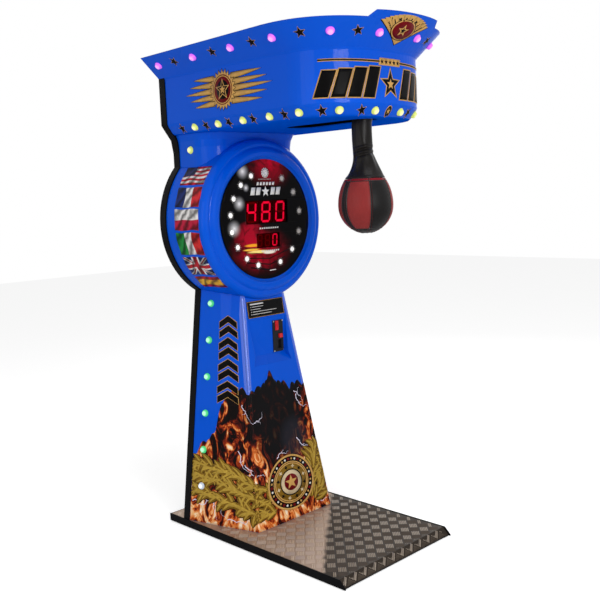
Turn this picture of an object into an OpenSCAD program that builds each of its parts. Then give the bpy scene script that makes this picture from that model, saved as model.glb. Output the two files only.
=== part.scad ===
// Boxing arcade machine: a moulded column, drum and overhanging head on a
// tread plate platform, with a leather ball on an arm that swings back.
// Front faces -Y, +Z is up, origin on the floor under the middle of the model.

/* [Platform] */
// Width of the platform
platform_w = 700; // [660:1:760]
// Length of the platform from its rear edge to the toe
platform_d = 1136; // [1060:1:1190]
// Height of the platform's top face
platform_h = 37; // [33:1:45]
// Length of the sloped toe
toe_run = 29; // [20:1:40]
// Thickness of the tread plate
tread_t = 3; // [2:0.5:4]
// Thickness of the steel angle of the frame
angle_t = 4; // [3:0.5:6]
// Width of the angle's lower flange
angle_w = 40; // [30:1:50]
// How far the side rails stand out in front of the folded toe
rail_lip = 8; // [4:1:12]
// How far the side rails stand above the tread plate
rail_rise = 2; // [1:0.5:4]
// Gap between the frame and the floor
floor_gap = 4; // [3:0.5:6]
// Radius of a rubber foot pad
pad_r = 24; // [15:1:30]
// Distance from the platform's rear edge to the back of the casing
rear_setback = 102; // [90:1:130]

/* [Rear casing] */
// Depth of the black rear casing
casing_d = 41; // [30:1:60]
// Thickness of the casing's rear skin
casing_skin = 4; // [2:0.5:8]
// Width of the casing's rim
casing_rim = 14; // [12:1:20]
// How far the casing stands out past the shells
casing_lip = 4; // [2:1:6]

/* [Column] */
// Width of the column's front face at the platform
column_front_w = 468; // [440:1:500]
// Width of the column's front face at its top
column_front_top_w = 258; // [240:1:280]
// Distance from each side of the platform to the column's open back
column_inset = 10; // [10:1:30]
// Width of the column's open back at its top
column_back_top_w = 400; // [390:1:420]
// Depth of the column at the platform
column_d = 375; // [350:1:400]
// Depth of the column at its top
column_top_d = 215; // [208:1:225]
// Height of the line where the column's top sizes are taken
column_top_z = 1095; // [1080:1:1110]
// Wall of the moulded shells
wall = 4; // [3:0.5:5]
// Radius of the raised bead along each front corner
bead_r = 7; // [6:0.5:10]

/* [Drum] */
// Height of the drum's centre
drum_z = 1436; // [1426:1:1446]
// Outer radius of the drum at the casing
drum_r = 372; // [366:1:378]
// Outer radius of the drum behind its front rim
drum_front_r = 366; // [362:1:368]
// Depth of the drum from the casing to its foremost ring
drum_d = 272; // [262:1:280]
// Radius of the round display
display_r = 274; // [268:1:280]
// How far the display lies behind the foremost ring
display_sink = 16; // [10:1:20]
// Thickness of the display's lens
lens_t = 4; // [3:0.5:6]

/* [Neck] */
// Width of the neck
neck_w = 554; // [540:1:580]
// Depth of the neck from the casing
neck_d = 216; // [205:1:225]
// Radius of the neck's front corners
neck_corner_r = 110; // [90:1:130]

/* [Head] */
// Height of the head's flat underside
head_z = 1830; // [1824:1:1836]
// Width of the head
head_w = 670; // [650:1:690]
// Reach of the head's wall from the casing's back to its nose
head_reach = 1051; // [1035:1:1065]
// Length of the curved nose
nose_len = 260; // [230:1:290]
// Squareness of the nose, 2 for an ellipse
nose_power = 2.4; // [2:0.1:3]
// Height of the crease where the crown starts
crown_z = 2080; // [2070:1:2086]
// Width of the sloped lower edge of the head
chamfer_w = 36; // [30:1:40]
// Height of the sloped lower edge of the head
chamfer_h = 48; // [40:1:54]
// Overhang of the crown's lower edge
crown_lip = 4; // [4:1:20]
// Outward reach of the crown's top edge past the head's wall
crown_flare = 95; // [85:1:100]
// Height of the crown
crown_h = 95; // [92:1:105]
// Drop of the crown's top edge towards the back
crown_drop = 11; // [0:1:14]
// Height of the raised crest above the crown
crest_h = 27; // [20:1:35]
// Half width of the crest
crest_half_w = 204; // [180:1:240]
// Half width of the arm slot under the nose
slot_half_w = 55; // [52:1:60]
// Half width of the arm slot at its rear end
slot_rear_half_w = 75; // [65:1:80]
// Length of the slot between its two round ends' centres
slot_len = 340; // [330:1:360]

/* [Punch arm] */
// Distance of the pivot behind the crown's nose
pivot_back = 265; // [255:1:275]
// Height of the pivot shaft
pivot_z = 1925; // [1922:1:1930]
// Radius of the pivot shaft
shaft_r = 12.5; // [10:0.5:14]
// Radius of the arm's steel tube
arm_r = 17; // [14:0.5:20]
// Distance from the pivot to the ball's centre
arm_len = 437; // [430:1:445]
// Radius of the ball
ball_r = 114; // [108:1:116]
// Radius of the leather sleeve at its top
sleeve_r = 41; // [38:1:43]
// Radius of the sleeve's hem
hem_r = 79; // [74:1:82]
// Swing of the arm from hanging to raised, in degrees
swing = 58; // [50:1:58]
// Running clearance on a radius
run_gap = 0.05; // [0.03:0.01:0.08]

/* [Coin side] */
// Half width of the coin recess
recess_half_w = 118; // [112:1:122]
// Depth of the recess below the coin plate's centre
recess_below = 116; // [104:1:120]
// Height of the recess above the coin plate's centre
recess_above = 94; // [88:1:100]
// Distance of the coin plate's centre from the middle
coin_x = 65; // [58:1:68]
// Width of the coin plate
coin_plate_w = 65; // [60:1:68]
// Height of the coin plate
coin_plate_h = 150; // [146:1:152]
// Height of the coin plate's centre
coin_z = 883; // [882:1:888]
// Width of the coin slit
coin_slit_w = 3.4; // [3:0.1:3.8]
// Height of the coin slit
coin_slit_h = 32; // [28:1:34]
// Travel of the reject button
button_travel = 5; // [3:0.5:6]

/* [Service door] */
// Width of the rear service door
door_w = 250; // [236:1:254]
// Height of the rear service door
door_h = 500; // [460:1:520]
// Height of the door's lower edge
door_z = 270; // [260:1:290]
// Gap round the door
door_gap = 2; // [1.5:0.5:3]

/* [Lamps] */
// Radius of a lamp cap
lamp_r = 17; // [14:0.5:19]
// Spacing of the lamps along the head's lower edge
lamp_pitch = 159; // [155:1:162]
// Distance of the rearmost crown lamps from the casing's back
crown_lamp_back = 74; // [40:1:100]
// Distance of the neck lamps from the casing
neck_lamp_back = 84; // [70:1:100]
// Depth of the neck lamps under the head
neck_lamp_drop = 71; // [60:1:80]
// Spacing of the lamps up the column
column_lamp_pitch = 170; // [166:1:172]

/* [Hidden] */

$fn = 64;
e = 0.01;

// The crown's nose and the platform's rear edge end the model front and back
crest_out = 24;
overall_d = rear_setback + head_reach + crown_flare + crest_out;
rear_y = overall_d / 2;
casing_y = rear_y - rear_setback;
shell_y = casing_y - casing_d;
toe_y = rear_y - platform_d;
nose_y = casing_y - head_reach;
pivot_y = -overall_d / 2 + pivot_back;
head_half = head_w / 2;
nose_start = nose_y + nose_len;
mast_x = 130;
mast_w = 40;
mast_top = 2040;
rail_h = 60;
rail_end = casing_y - casing_rim - 4;
beam_h = 40;
beam_z = mast_top - beam_h;
plate_x = 80;
plate_t = 8;
lens_y = shell_y - drum_d + display_sink;

// Half width and front depth of the column at a height
column_back_w = platform_w - 2 * column_inset;
recess_z0 = coin_z - recess_below;
recess_z1 = coin_z + recess_above;
function mix(a, b, t) = a + (b - a) * t;
function col_t(z) = (z - platform_h) / (column_top_z - platform_h);
function col_front(z) = mix(column_front_w, column_front_top_w, col_t(z)) / 2;
function col_back(z) = mix(column_back_w, column_back_top_w, col_t(z)) / 2;
function col_y(z) = shell_y - mix(column_d, column_top_d, col_t(z));
face_tilt = atan((column_d - column_top_d) / (column_top_z - platform_h));

// Plan of the head as a U with a superellipse nose, o wider all round
nose_steps = 44;
function sgn_pow(v, p) = sign(v) * pow(abs(v), p);
function nose_pt(a, o) = [
  (head_half + o) * sgn_pow(sin(a), 2 / nose_power),
  nose_start - (nose_len + o) * pow(abs(cos(a)), 2 / nose_power)
];
function u_plan(o, back) = concat(
  [[-(head_half + o), back]],
  [for (i = [0 : nose_steps]) nose_pt(-90 + 180 * i / nose_steps, o)],
  [[head_half + o, back]]
);

// Solid through a stack of rings that have the same number of points
module loft(rings) {
  n = len(rings[0]);
  m = len(rings);
  polyhedron(
    points = [for (r = rings) for (p = r) p],
    faces = concat(
      [[for (i = [0 : n - 1]) i]],
      [for (j = [0 : m - 2]) for (i = [0 : n - 1])
        [j * n + i, (j + 1) * n + (i + 1) % n, j * n + (i + 1) % n]],
      [for (j = [0 : m - 2]) for (i = [0 : n - 1])
        [j * n + i, (j + 1) * n + i, (j + 1) * n + (i + 1) % n]],
      [[for (i = [n - 1 : -1 : 0]) (m - 1) * n + i]]
    )
  );
}

function lift(plan, z) = [for (p = plan) [p[0], p[1], z]];

// Box by its two corners
module block(a, b) {
  translate(a) cube(b - a);
}

// Turned part about an axis along X, or along Y, from a profile of radius and length
module turn_x() { rotate([90, 0, 90]) rotate_extrude() children(); }
module turn_y() { rotate([-90, 0, 0]) rotate_extrude() children(); }
module rod_x(r, x0, x1) { translate([x0, 0, 0]) rotate([0, 90, 0]) cylinder(r = r, h = x1 - x0); }
module rod_y(r, y0, y1) { translate([0, y0, 0]) rotate([-90, 0, 0]) cylinder(r = r, h = y1 - y0); }
module both() { children(); mirror([1, 0, 0]) children(); }

// PLATFORM
rail_z = floor_gap;
side_in = platform_w / 2 - angle_t;
member_z = rail_z + angle_t;
member_h = platform_h - tread_t - member_z;
member_w = 50;
mast_d = 36;
mast_y = casing_y - casing_skin - mast_d;
anchor_y = mast_y - 32;
member_ys = [toe_y + 110, toe_y + 370, shell_y - column_d - 30, shell_y - 222, anchor_y, rear_y - 45];

// Angle iron along each side, with its front end cut to the slope of the toe
module base_side_rails() {
  color("#15161a")
  both() difference() {
    union() {
      block([side_in, toe_y - rail_lip, rail_z], [platform_w / 2, rear_y, platform_h + rail_rise]);
      block([platform_w / 2 - angle_w, toe_y, rail_z], [side_in + e, rear_y, member_z]);
    }
    translate([0, toe_y - rail_lip, 0]) rotate([90, 0, 90]) linear_extrude(platform_w)
      polygon([
        [-1, -1], [-1, platform_h + rail_rise + 1], [toe_run + 2, platform_h + rail_rise + 1],
        [toe_run + 2, platform_h + rail_rise], [0, member_z + 1]
      ]);
  }
}

// Box members that carry the tread plate between the side rails, and the toe and rear strips
module base_cross_rails() {
  color("#1b1c20") {
    for (y = member_ys)
      difference() {
        block([-side_in, y - member_w / 2, member_z], [side_in, y + member_w / 2, member_z + member_h]);
        block([-side_in - 1, y - member_w / 2 + 3, member_z + 3],
          [side_in + 1, y + member_w / 2 - 3, member_z + member_h - 3]);
        anchor_holes(bolt_r);
      }
    block([-platform_w / 2 + angle_w, toe_y + 1, rail_z], [platform_w / 2 - angle_w, toe_y + 38, member_z]);
    block([-side_in, rear_y - angle_t, member_z], [side_in, rear_y, platform_h]);
  }
}

// Aluminium tread plate, folded down at the toe
module tread_plate() {
  fold = tread_t * 0.45;
  color("#8b857b")
  difference() {
    translate([-side_in + 1, 0, 0]) rotate([90, 0, 90]) linear_extrude(2 * side_in - 2)
      polygon([
        [rear_y - angle_t, platform_h], [toe_y + toe_run, platform_h], [toe_y, member_z + 2], [toe_y + 1, member_z + 0.2],
        [toe_y + 8, member_z + 1], [toe_y + toe_run + fold, platform_h - tread_t], [rear_y - angle_t, platform_h - tread_t]
      ]);
    anchor_holes(bolt_r);
  }
}

// Rubber pads under the cross members
module foot_pads() {
  color("#202022")
  both() for (y = [member_ys[0], member_ys[2], member_ys[4]])
    translate([side_in - angle_w - pad_r, y, 0]) {
      cylinder(r = pad_r, h = member_z);
    }
}

// MAST
foot_plate_t = 10;
foot_plate_w = 110;

module mast_uprights() {
  color("#2a2c30")
  both() difference() {
    block([mast_x, mast_y, platform_h + foot_plate_t], [mast_x + mast_w, mast_y + mast_d, mast_top]);
    block([mast_x + 3, mast_y + 3, platform_h + foot_plate_t + 3],
      [mast_x + mast_w - 3, mast_y + mast_d - 3, mast_top - 3]);
  }
}

// Clearance holes for the anchor bolts, from inside the cross member to above the foot plates
bolt_r = 6;
bolt_offset = 38;
module anchor_holes(r) {
  both() for (sx = [-1, 1])
    translate([mast_x + mast_w / 2 + sx * bolt_offset, anchor_y, member_z + member_h - 4])
      cylinder(r = r, h = 30);
}

// Plates welded under the uprights and bolted through the tread plate
module mast_foot_plates() {
  color("#2a2c30")
  difference() {
    both() block([mast_x + mast_w / 2 - foot_plate_w / 2, anchor_y - 20, platform_h],
      [mast_x + mast_w / 2 + foot_plate_w / 2, mast_y + mast_d, platform_h + foot_plate_t]);
    anchor_holes(bolt_r);
  }
}

nut_h = 7;
module anchor_bolts() {
  color("#9a9da3")
  both() for (sx = [-1, 1])
    translate([mast_x + mast_w / 2 + sx * bolt_offset, anchor_y, platform_h + foot_plate_t]) {
      cylinder(r = 11, h = 2);
      translate([0, 0, 2]) cylinder(r = 10, h = nut_h, $fn = 6);
      translate([0, 0, member_z + 6 - platform_h - foot_plate_t])
        cylinder(r = bolt_r - 0.5, h = platform_h + foot_plate_t - member_z - 6);
      translate([0, 0, member_z + member_h - 3 - nut_h - platform_h - foot_plate_t])
        cylinder(r = 10, h = nut_h, $fn = 6);
    }
}

// Cross ties between the uprights
module mast_ties() {
  color("#2a2c30")
  for (z = [door_z - 90, door_z + door_h + 60, drum_z - 30, head_z - 60])
    difference() {
      block([-mast_x, mast_y, z], [mast_x, mast_y + mast_d, z + mast_w]);
      block([-mast_x - 1, mast_y + 3, z + 3], [mast_x + 1, mast_y + mast_d - 3, z + mast_w - 3]);
    }
}

// REAR CASING
casing_r = drum_r + casing_lip + 2;

// Outline of the casing, i smaller all round
module casing_outline(i) {
  neck_x = neck_w / 2 + casing_lip - i;
  head_x = head_half + casing_lip - i;
  c = casing_lip - i;
  polygon([
    [-(col_back(platform_h) + c), platform_h - min(i, 1)],
    [col_back(platform_h) + c, platform_h - min(i, 1)],
    [col_back(drum_z - 180) + c, drum_z - 180],
    [-(col_back(drum_z - 180) + c), drum_z - 180]
  ]);
  translate([0, drum_z]) circle(r = casing_r - i, $fn = 128);
  polygon([
    [-neck_x, drum_z], [neck_x, drum_z],
    [neck_x, head_z - 80], [neck_x + 10, head_z - 22],
    [head_x, head_z + 44], [head_x, crown_z - i],
    [-head_x, crown_z - i], [-head_x, head_z + 44],
    [-neck_x - 10, head_z - 22], [-neck_x, head_z - 80]
  ]);
}

inlet_x = 220;
inlet_z = 150;
speaker_z = 1130;
module rear_casing() {
  color("#0d0d0f")
  difference() {
    translate([0, casing_y, 0]) rotate([90, 0, 0]) linear_extrude(casing_d) casing_outline(0);
    translate([0, casing_y - casing_skin, 0]) rotate([90, 0, 0]) linear_extrude(casing_d)
      casing_outline(casing_rim);
    block([-door_w / 2 - door_gap, casing_y - casing_d, door_z - door_gap],
      [door_w / 2 + door_gap, casing_y + 1, door_z + door_h + door_gap]);
    block([inlet_x - 24, casing_y - casing_d, inlet_z - 30], [inlet_x + 24, casing_y + 1, inlet_z + 30]);
    for (k = [-3 : 3])
      block([-50, casing_y - casing_skin - 1, speaker_z + k * 14 - 3], [50, casing_y + 1, speaker_z + k * 14 + 3]);
    both() block([mast_x - 1, casing_y - casing_d - 1, mast_top], [mast_x + mast_w + 1, rail_end + 1, crown_z + 1]);
  }
}

// SHELLS
bead_in = 4;
function col_ring(z, i, back) = [
  [-(col_back(z) - i), back, z],
  [-(mix(col_back(z), col_front(z), 0.5) + 5 - i), mix(shell_y, col_y(z), 0.5), z],
  [-(col_front(z) + 3 - i), col_y(z) + 14, z],
  [-(col_front(z) - 12), col_y(z) + i, z],
  [col_front(z) - 12, col_y(z) + i, z],
  [col_front(z) + 3 - i, col_y(z) + 14, z],
  [mix(col_back(z), col_front(z), 0.5) + 5 - i, mix(shell_y, col_y(z), 0.5), z],
  [col_back(z) - i, back, z]
];

// Raised bead along a front corner, ending a little below the drum
module corner_bead() {
  z0 = platform_h;
  z1 = column_top_z - 14;
  a = [col_front(z0) - bead_in, col_y(z0) + bead_in + 3, z0];
  b = [col_front(z1) - bead_in, col_y(z1) + bead_in + 3, z1];
  d = b - a;
  intersection() {
    translate(a) rotate([0, acos(d[2] / norm(d)), atan2(d[1], d[0])]) translate([0, 0, -20])
      cylinder(r = bead_r, h = norm(d) + 20);
    block([0, -overall_d, platform_h], [platform_w, shell_y, column_top_z]);
  }
}

recess_y = col_y(recess_z1) + 2;
recess_bevel = 14;
recess_ledge = 38;
module recess_form(g, front) {
  z0 = recess_z0 - g;
  z1 = recess_z1 + g * 0.2;
  w = recess_half_w + g;
  loft([
    [[-w, col_y(z0) - front, z0], [w, col_y(z0) - front, z0], [w, col_y(z0) + 1, z0], [-w, col_y(z0) + 1, z0]],
    [[-w + recess_bevel, col_y(z0 + recess_ledge) - front, z0 + recess_ledge],
      [w - recess_bevel, col_y(z0 + recess_ledge) - front, z0 + recess_ledge],
      [w - recess_bevel, recess_y + g, z0 + recess_ledge], [-w + recess_bevel, recess_y + g, z0 + recess_ledge]],
    [[-w, col_y(z1) - front, z1], [w, col_y(z1) - front, z1], [w, recess_y + g, z1], [-w, recess_y + g, z1]]
  ]);
}

// The drum's outside as a solid, to trim the shells that meet it
module drum_form() {
  translate([0, shell_y + e, drum_z]) rotate([90, 0, 0]) {
    cylinder(r1 = drum_r, r2 = drum_front_r, h = rim_d + e, $fn = 128);
    translate([0, 0, rim_d]) cylinder(r = drum_front_r, h = 100, $fn = 128);
  }
}

module column_shell() {
  color("#1a4fc0")
  difference() {
    union() {
      difference() {
        union() {
          loft([col_ring(platform_h, 0, shell_y), col_ring(drum_z, 0, shell_y)]);
          both() corner_bead();
        }
        loft([col_ring(platform_h - 1, wall, shell_y + 1), col_ring(drum_z + 1, wall, shell_y + 1)]);
      }
      recess_form(wall, 0);
    }
    recess_form(0, 20);
    drum_form();
    block([coin_x - plate_hole_w / 2, recess_y - 2, coin_z - plate_hole_h / 2],
      [coin_x + plate_hole_w / 2, recess_y + wall + 2, coin_z + plate_hole_h / 2]);
    plate_screw_holes();
  }
}

// Radius and distance in front of the casing, from the rear edge to the display
rim_d = drum_d - 40;
drum_profile = [
  [drum_r, 0], [drum_front_r, rim_d], [drum_front_r - 2, rim_d + 9], [drum_front_r - 8, rim_d + 17],
  [drum_front_r - 16, rim_d + 23], [drum_front_r - 24, rim_d + 26], [drum_front_r - 30, rim_d + 25],
  [drum_front_r - 34, rim_d + 24], [drum_front_r - 38, rim_d + 26], [drum_front_r - 44, rim_d + 33],
  [drum_front_r - 52, rim_d + 38], [drum_front_r - 60, drum_d], [drum_front_r - 70, drum_d],
  [drum_front_r - 78, drum_d - 3], [display_r + 6, drum_d - display_sink + 3], [display_r, drum_d - display_sink]
];
drum_inner = [
  [display_r - 8, drum_d - display_sink], [display_r - 8, drum_d - display_sink - wall],
  [display_r + 4, drum_d - display_sink - wall], [drum_front_r - 80, drum_d - 3 - wall], [drum_front_r - 60, drum_d - wall],
  [drum_front_r - 52, rim_d + 34], [drum_front_r - 34, rim_d + 20], [drum_front_r - 10, rim_d + 12],
  [drum_front_r - wall, rim_d], [drum_r - wall, 0]
];

// Round housing with a stepped rim, open at the back
module drum_shell() {
  color("#1a4fc0")
  translate([0, shell_y, drum_z]) rotate([90, 0, 0]) rotate_extrude($fn = 128)
    polygon(concat(drum_profile, drum_inner));
}

neck_flare_z = head_z - 60;
neck_flare = 14;
neck_steps = 12;

// Ring round the neck with round front corners, w half wide and d deep
function neck_ring(w, d, r, z, back) = concat(
  [[-w, back, z]],
  [for (i = [0 : neck_steps]) let(a = 90 * i / neck_steps) [-(w - r) - r * cos(a), shell_y - d + r - r * sin(a), z]],
  [for (i = [neck_steps : -1 : 0]) let(a = 90 * i / neck_steps) [(w - r) + r * cos(a), shell_y - d + r - r * sin(a), z]],
  [[w, back, z]]
);

// The neck's form, i smaller all round
module neck_form(i, z0, z1, back) {
  loft([for (p = [[0, z0], [0, neck_flare_z], [0.25, neck_flare_z + 30], [1, z1]])
    neck_ring(neck_w / 2 - i + neck_flare * p[0], neck_d - i + neck_flare * p[0], neck_corner_r - i, p[1], back)]);
}

module neck_shell() {
  color("#1a4fc0")
  difference() {
    neck_form(0, drum_z, head_z, shell_y);
    neck_form(wall, drum_z - 1, head_z + 0.5, shell_y + 1);
    drum_form();
  }
}

// Outline of the arm slot, g larger all round
slot_rear_y = pivot_y + slot_len;
module slot_outline(g) {
  tilt = asin((slot_rear_half_w - slot_half_w) / slot_len);
  n = 24;
  polygon(concat(
    [for (i = [0 : n]) let(a = 180 + tilt + (180 - 2 * tilt) * i / n, r = slot_half_w + g)
      [r * cos(a), pivot_y + r * sin(a)]],
    [for (i = [0 : n]) let(a = -tilt + (180 + 2 * tilt) * i / n, r = slot_rear_half_w + g)
      [r * cos(a), slot_rear_y + r * sin(a)]]
  ));
}

module head_shell() {
  top = crown_z;
  color("#1a4fc0")
  difference() {
    union() {
      difference() {
        loft([
          lift(u_plan(-chamfer_w, shell_y), head_z),
          lift(u_plan(-chamfer_w * 0.72, shell_y), head_z + chamfer_h * 0.14),
          lift(u_plan(-chamfer_w * 0.12, shell_y), head_z + chamfer_h * 0.78),
          lift(u_plan(0, shell_y), head_z + chamfer_h),
          lift(u_plan(0, shell_y), top)
        ]);
        loft([
          lift(u_plan(-chamfer_w - wall * 0.7, shell_y + 1), head_z + wall),
          lift(u_plan(-chamfer_w * 0.12 - wall, shell_y + 1), head_z + chamfer_h * 0.78 + wall * 0.4),
          lift(u_plan(-wall, shell_y + 1), head_z + chamfer_h),
          lift(u_plan(-wall, shell_y + 1), top + 1)
        ]);
      }
      translate([0, 0, head_z]) linear_extrude(16) slot_outline(wall);
    }
    translate([0, 0, head_z - 1]) linear_extrude(40) slot_outline(0);
  }
}

// Crown ring, o past the head's wall at the top, raked down to the back
rake_run = 573;
function rake(y, z) = z - crown_drop * max(0, 1 + (y - casing_y) / rake_run);
function crown_ring(o, z, back, k) = [for (p = u_plan(o, back)) [p[0], p[1], k > 0 ? rake(p[1], z) : z]];
crown_slope = (crown_flare - crown_lip) / crown_h;
lid_z = crown_z + crown_h - 34;

// The crest carries on the crown's slope, with sloping ends
crest_ramp = 30;
crest_steps = 24;
function crest_z(x) = crest_h * min(1, max(0, (crest_half_w - abs(x)) / crest_ramp)) * (1 - 0.2 * pow(x / crest_half_w, 2));
function crest_turn(x) = sign(x) * asin(pow(abs(x) / (head_half + crown_flare), nose_power / 2));
crest_flat = crest_half_w - crest_ramp;
crest_xs = concat([-crest_half_w - 5, -crest_half_w],
  [for (i = [0 : crest_steps]) crest_flat * (2 * i / crest_steps - 1)], [crest_half_w, crest_half_w + 5]);
module crest() {
  zb = crown_z + crown_h - 2;
  loft([for (x = crest_xs)
    let(a = crest_turn(x), k = crest_z(x) / crest_h, lean = crown_flare - 1.8 + (crest_out + 1.8) * k,
      zt = zb + 1.2 + crest_z(x), b = nose_pt(a, crown_flare - 2.5), t = nose_pt(a, lean - wall),
      o = nose_pt(a, lean), u = nose_pt(a, crown_flare - 6.3))
    [[u[0], u[1], zb], [t[0], t[1], zt], [o[0], o[1], zt - 0.6], [b[0], b[1], zb]]]);
}

module crown() {
  top = crown_z + crown_h;
  in_lip = crown_lip - wall;
  color("#1a4fc0") {
    difference() {
      loft([crown_ring(crown_lip, crown_z, casing_y, 0), crown_ring(crown_flare, top, casing_y, 1)]);
      loft([
        crown_ring(in_lip + 1, crown_z + wall, casing_y - wall, 0),
        crown_ring(in_lip + crown_slope * (lid_z - crown_z - wall * 2), lid_z - wall, casing_y - wall, 0)
      ]);
      translate([0, 0, crown_z - 1]) linear_extrude(wall + 2) polygon(u_plan(-wall, casing_y - casing_rim));
      loft([
        crown_ring(in_lip + crown_slope * (lid_z - crown_z) - 2, lid_z, casing_y - wall, 0),
        crown_ring(crown_flare - wall + crown_slope * 12, top + 12, casing_y - wall, 0)
      ]);
      translate([0, 0, lid_z - wall - 1]) linear_extrude(wall + 2) polygon(u_plan(in_lip + 24, casing_y - wall - 20));
    }
    crest();
  }
}

// Flat cover on the ledge inside the crown
module head_lid() {
  color("#16181d")
  translate([0, 0, lid_z]) linear_extrude(4)
    polygon(u_plan(crown_lip - wall + crown_slope * (lid_z - crown_z) - 6, casing_y - wall - 4));
}

// DISPLAY
module display_lens() {
  color("#120a0c")
  translate([0, lens_y, drum_z]) rod_y(display_r - 0.5, -lens_t, 0);
}

digit_y = lens_y + 16;
module display_board() {
  color("#0f3d1f")
  translate([0, 0, drum_z]) {
    rod_y(display_r - 30, digit_y, digit_y + 3);
    both() for (z = [-170, 170])
      translate([mast_x + mast_w / 2, 0, z]) rod_y(6, digit_y + 3, mast_y);
  }
}

// Seven-segment modules stand on the board behind the lens
module digit_block(x, z, w, h, d) {
  block([x - w / 2, digit_y - d, z - h / 2], [x + w / 2, digit_y, z + h / 2]);
}

score_pitch = 84;
score_z = drum_z + 35;
module score_digits() {
  color("#3a0508")
  for (k = [-1 : 1]) digit_block(5 + k * score_pitch, score_z, score_pitch - 8, 98, 14);
}

credit_pitch = 47;
credit_z = drum_z - 96;
module credit_digits() {
  color("#3a0508")
  for (k = [-1 : 1]) digit_block(6 + k * credit_pitch, credit_z, credit_pitch - 5, 62, 14);
}

// Ring of lamps round the digits, eight on the left and six on the right
ring_r = 215;
module display_lamps() {
  color("#f2f2ee")
  for (a = [for (k = [0 : 7]) -22.5 - 20.1 * k, for (k = [0 : 5]) 30.1 + 25.8 * k])
    translate([ring_r * sin(a), digit_y, drum_z + ring_r * cos(a)]) rod_y(5, -13, 0);
}

// COIN SIDE
plate_y = recess_y - 4;
plate_hole_w = 49;
plate_hole_h = 146;
entry_x = coin_x - 8;
entry_z = coin_z + 50;
button_x = coin_x + 12;
button_z = coin_z;
button_w = 20;
button_h = 19;
cup_w = 26;
cup_h = 42;
cup_x = coin_x + 6;
cup_z = coin_z - 40;

// Four screw places in the coin plate's corners
module at_plate_screws() {
  for (sx = [-1, 1]) for (sz = [-1, 1])
    translate([coin_x + sx * (coin_plate_w / 2 - 4.5), 0, coin_z + sz * (coin_plate_h / 2 - 4.5)]) children();
}
module plate_screw_holes() {
  at_plate_screws() rod_y(2.1, plate_y - 1, recess_y + wall + 1);
}

module rules_plate() {
  z0 = recess_z1 + 8;
  len_up = 78;
  color("#0c0c0d")
  translate([0, col_y(z0), z0]) rotate([-face_tilt, 0, 0])
    block([-114, -2, 0], [114, 0, len_up]);
}

module coin_plate() {
  color("#1d1d20")
  difference() {
    block([coin_x - coin_plate_w / 2, plate_y, coin_z - coin_plate_h / 2],
      [coin_x + coin_plate_w / 2, recess_y, coin_z + coin_plate_h / 2]);
    block([entry_x - 8, plate_y - 1, entry_z - 21], [entry_x + 8, recess_y + 1, entry_z + 21]);
    block([button_x - button_w / 2 - 0.6, plate_y - 1, button_z - button_h / 2 - 0.6],
      [button_x + button_w / 2 + 0.6, recess_y + 1, button_z + button_h / 2 + 0.6]);
    block([cup_x - cup_w / 2, plate_y - 1, cup_z - cup_h / 2], [cup_x + cup_w / 2, recess_y + 1, cup_z + cup_h / 2]);
    plate_screw_holes();
  }
}

// Red bezel with the slit that the coin goes into
module coin_entry() {
  color("#b01218")
  difference() {
    union() {
      block([entry_x - 7.8, plate_y - 5, entry_z - 20.8], [entry_x + 7.8, recess_y, entry_z + 20.8]);
      block([entry_x - 9.5, plate_y - 1.5, entry_z - 22.5], [entry_x + 9.5, plate_y, entry_z + 22.5]);
    }
    block([entry_x - coin_slit_w / 2, plate_y - 6, entry_z - coin_slit_h / 2],
      [entry_x + coin_slit_w / 2, recess_y + 3, entry_z + coin_slit_h / 2]);
  }
}

button_back = recess_y + 3;
module reject_button() {
  color("#c4141b") {
    block([button_x - button_w / 2, plate_y - 8, button_z - button_h / 2],
      [button_x + button_w / 2, button_back, button_z + button_h / 2]);
    block([button_x - button_w / 2 - 1.5, recess_y + 0.3, button_z - button_h / 2 - 1.5],
      [button_x + button_w / 2 + 1.5, button_back, button_z + button_h / 2 + 1.5]);
    translate([button_x, 0, button_z]) rod_y(3, button_back, button_back + 7);
  }
}

// Coil of round wire between the button and the mechanism, as one swept tube
spring_turns = 4;
spring_len = 12;
wire = 0.6;
module reject_spring() {
  n = 10;
  coil = 5.5;
  color("#b9bcc2")
  translate([button_x, button_back + wire * sin(60), button_z])
    loft([for (i = [0 : spring_turns * n])
      let(a = 360 * i / n, c = [coil * cos(a), spring_len * i / (spring_turns * n), coil * sin(a)])
      [for (k = [5 : -1 : 0]) let(b = 60 * k) c + wire * [cos(b) * cos(a), sin(b), cos(b) * sin(a)]]]);
}

module plate_screws() {
  color("#c9ccd1")
  at_plate_screws() {
    rod_y(3.6, plate_y - 2, plate_y);
    rod_y(1.9, plate_y, recess_y + 6);
  }
}

mech_y = button_back + spring_len + 2 * wire * sin(60);
mech_x0 = coin_x - 26;
mech_x1 = coin_x + 26;
mech_top = coin_z + 66;
mech_bottom = cup_z + cup_h / 2 + 6;
module coin_mech() {
  color("#2c2e33")
  difference() {
    union() {
      block([mech_x0, mech_y, mech_bottom], [mech_x1, mech_y + 56, mech_top]);
      block([entry_x - 8, recess_y, entry_z - 22], [entry_x + 8, mech_y + e, entry_z + 22]);
    }
    block([entry_x - 1.7, recess_y - 1, entry_z - 18], [entry_x + 1.7, mech_y + 30, entry_z + 18]);
    block([entry_x - 1.7, mech_y + 8, mech_bottom - 1], [entry_x + 1.7, mech_y + 30, entry_z]);
  }
}

module return_cup() {
  color("#232327")
  difference() {
    block([cup_x - cup_w / 2 - 3, recess_y, cup_z - cup_h / 2 - 3], [cup_x + cup_w / 2 + 3, recess_y + 18, cup_z + cup_h / 2 + 3]);
    block([cup_x - cup_w / 2, recess_y - 1, cup_z - cup_h / 2], [cup_x + cup_w / 2, recess_y + 15, cup_z + cup_h / 2]);
  }
}

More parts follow.
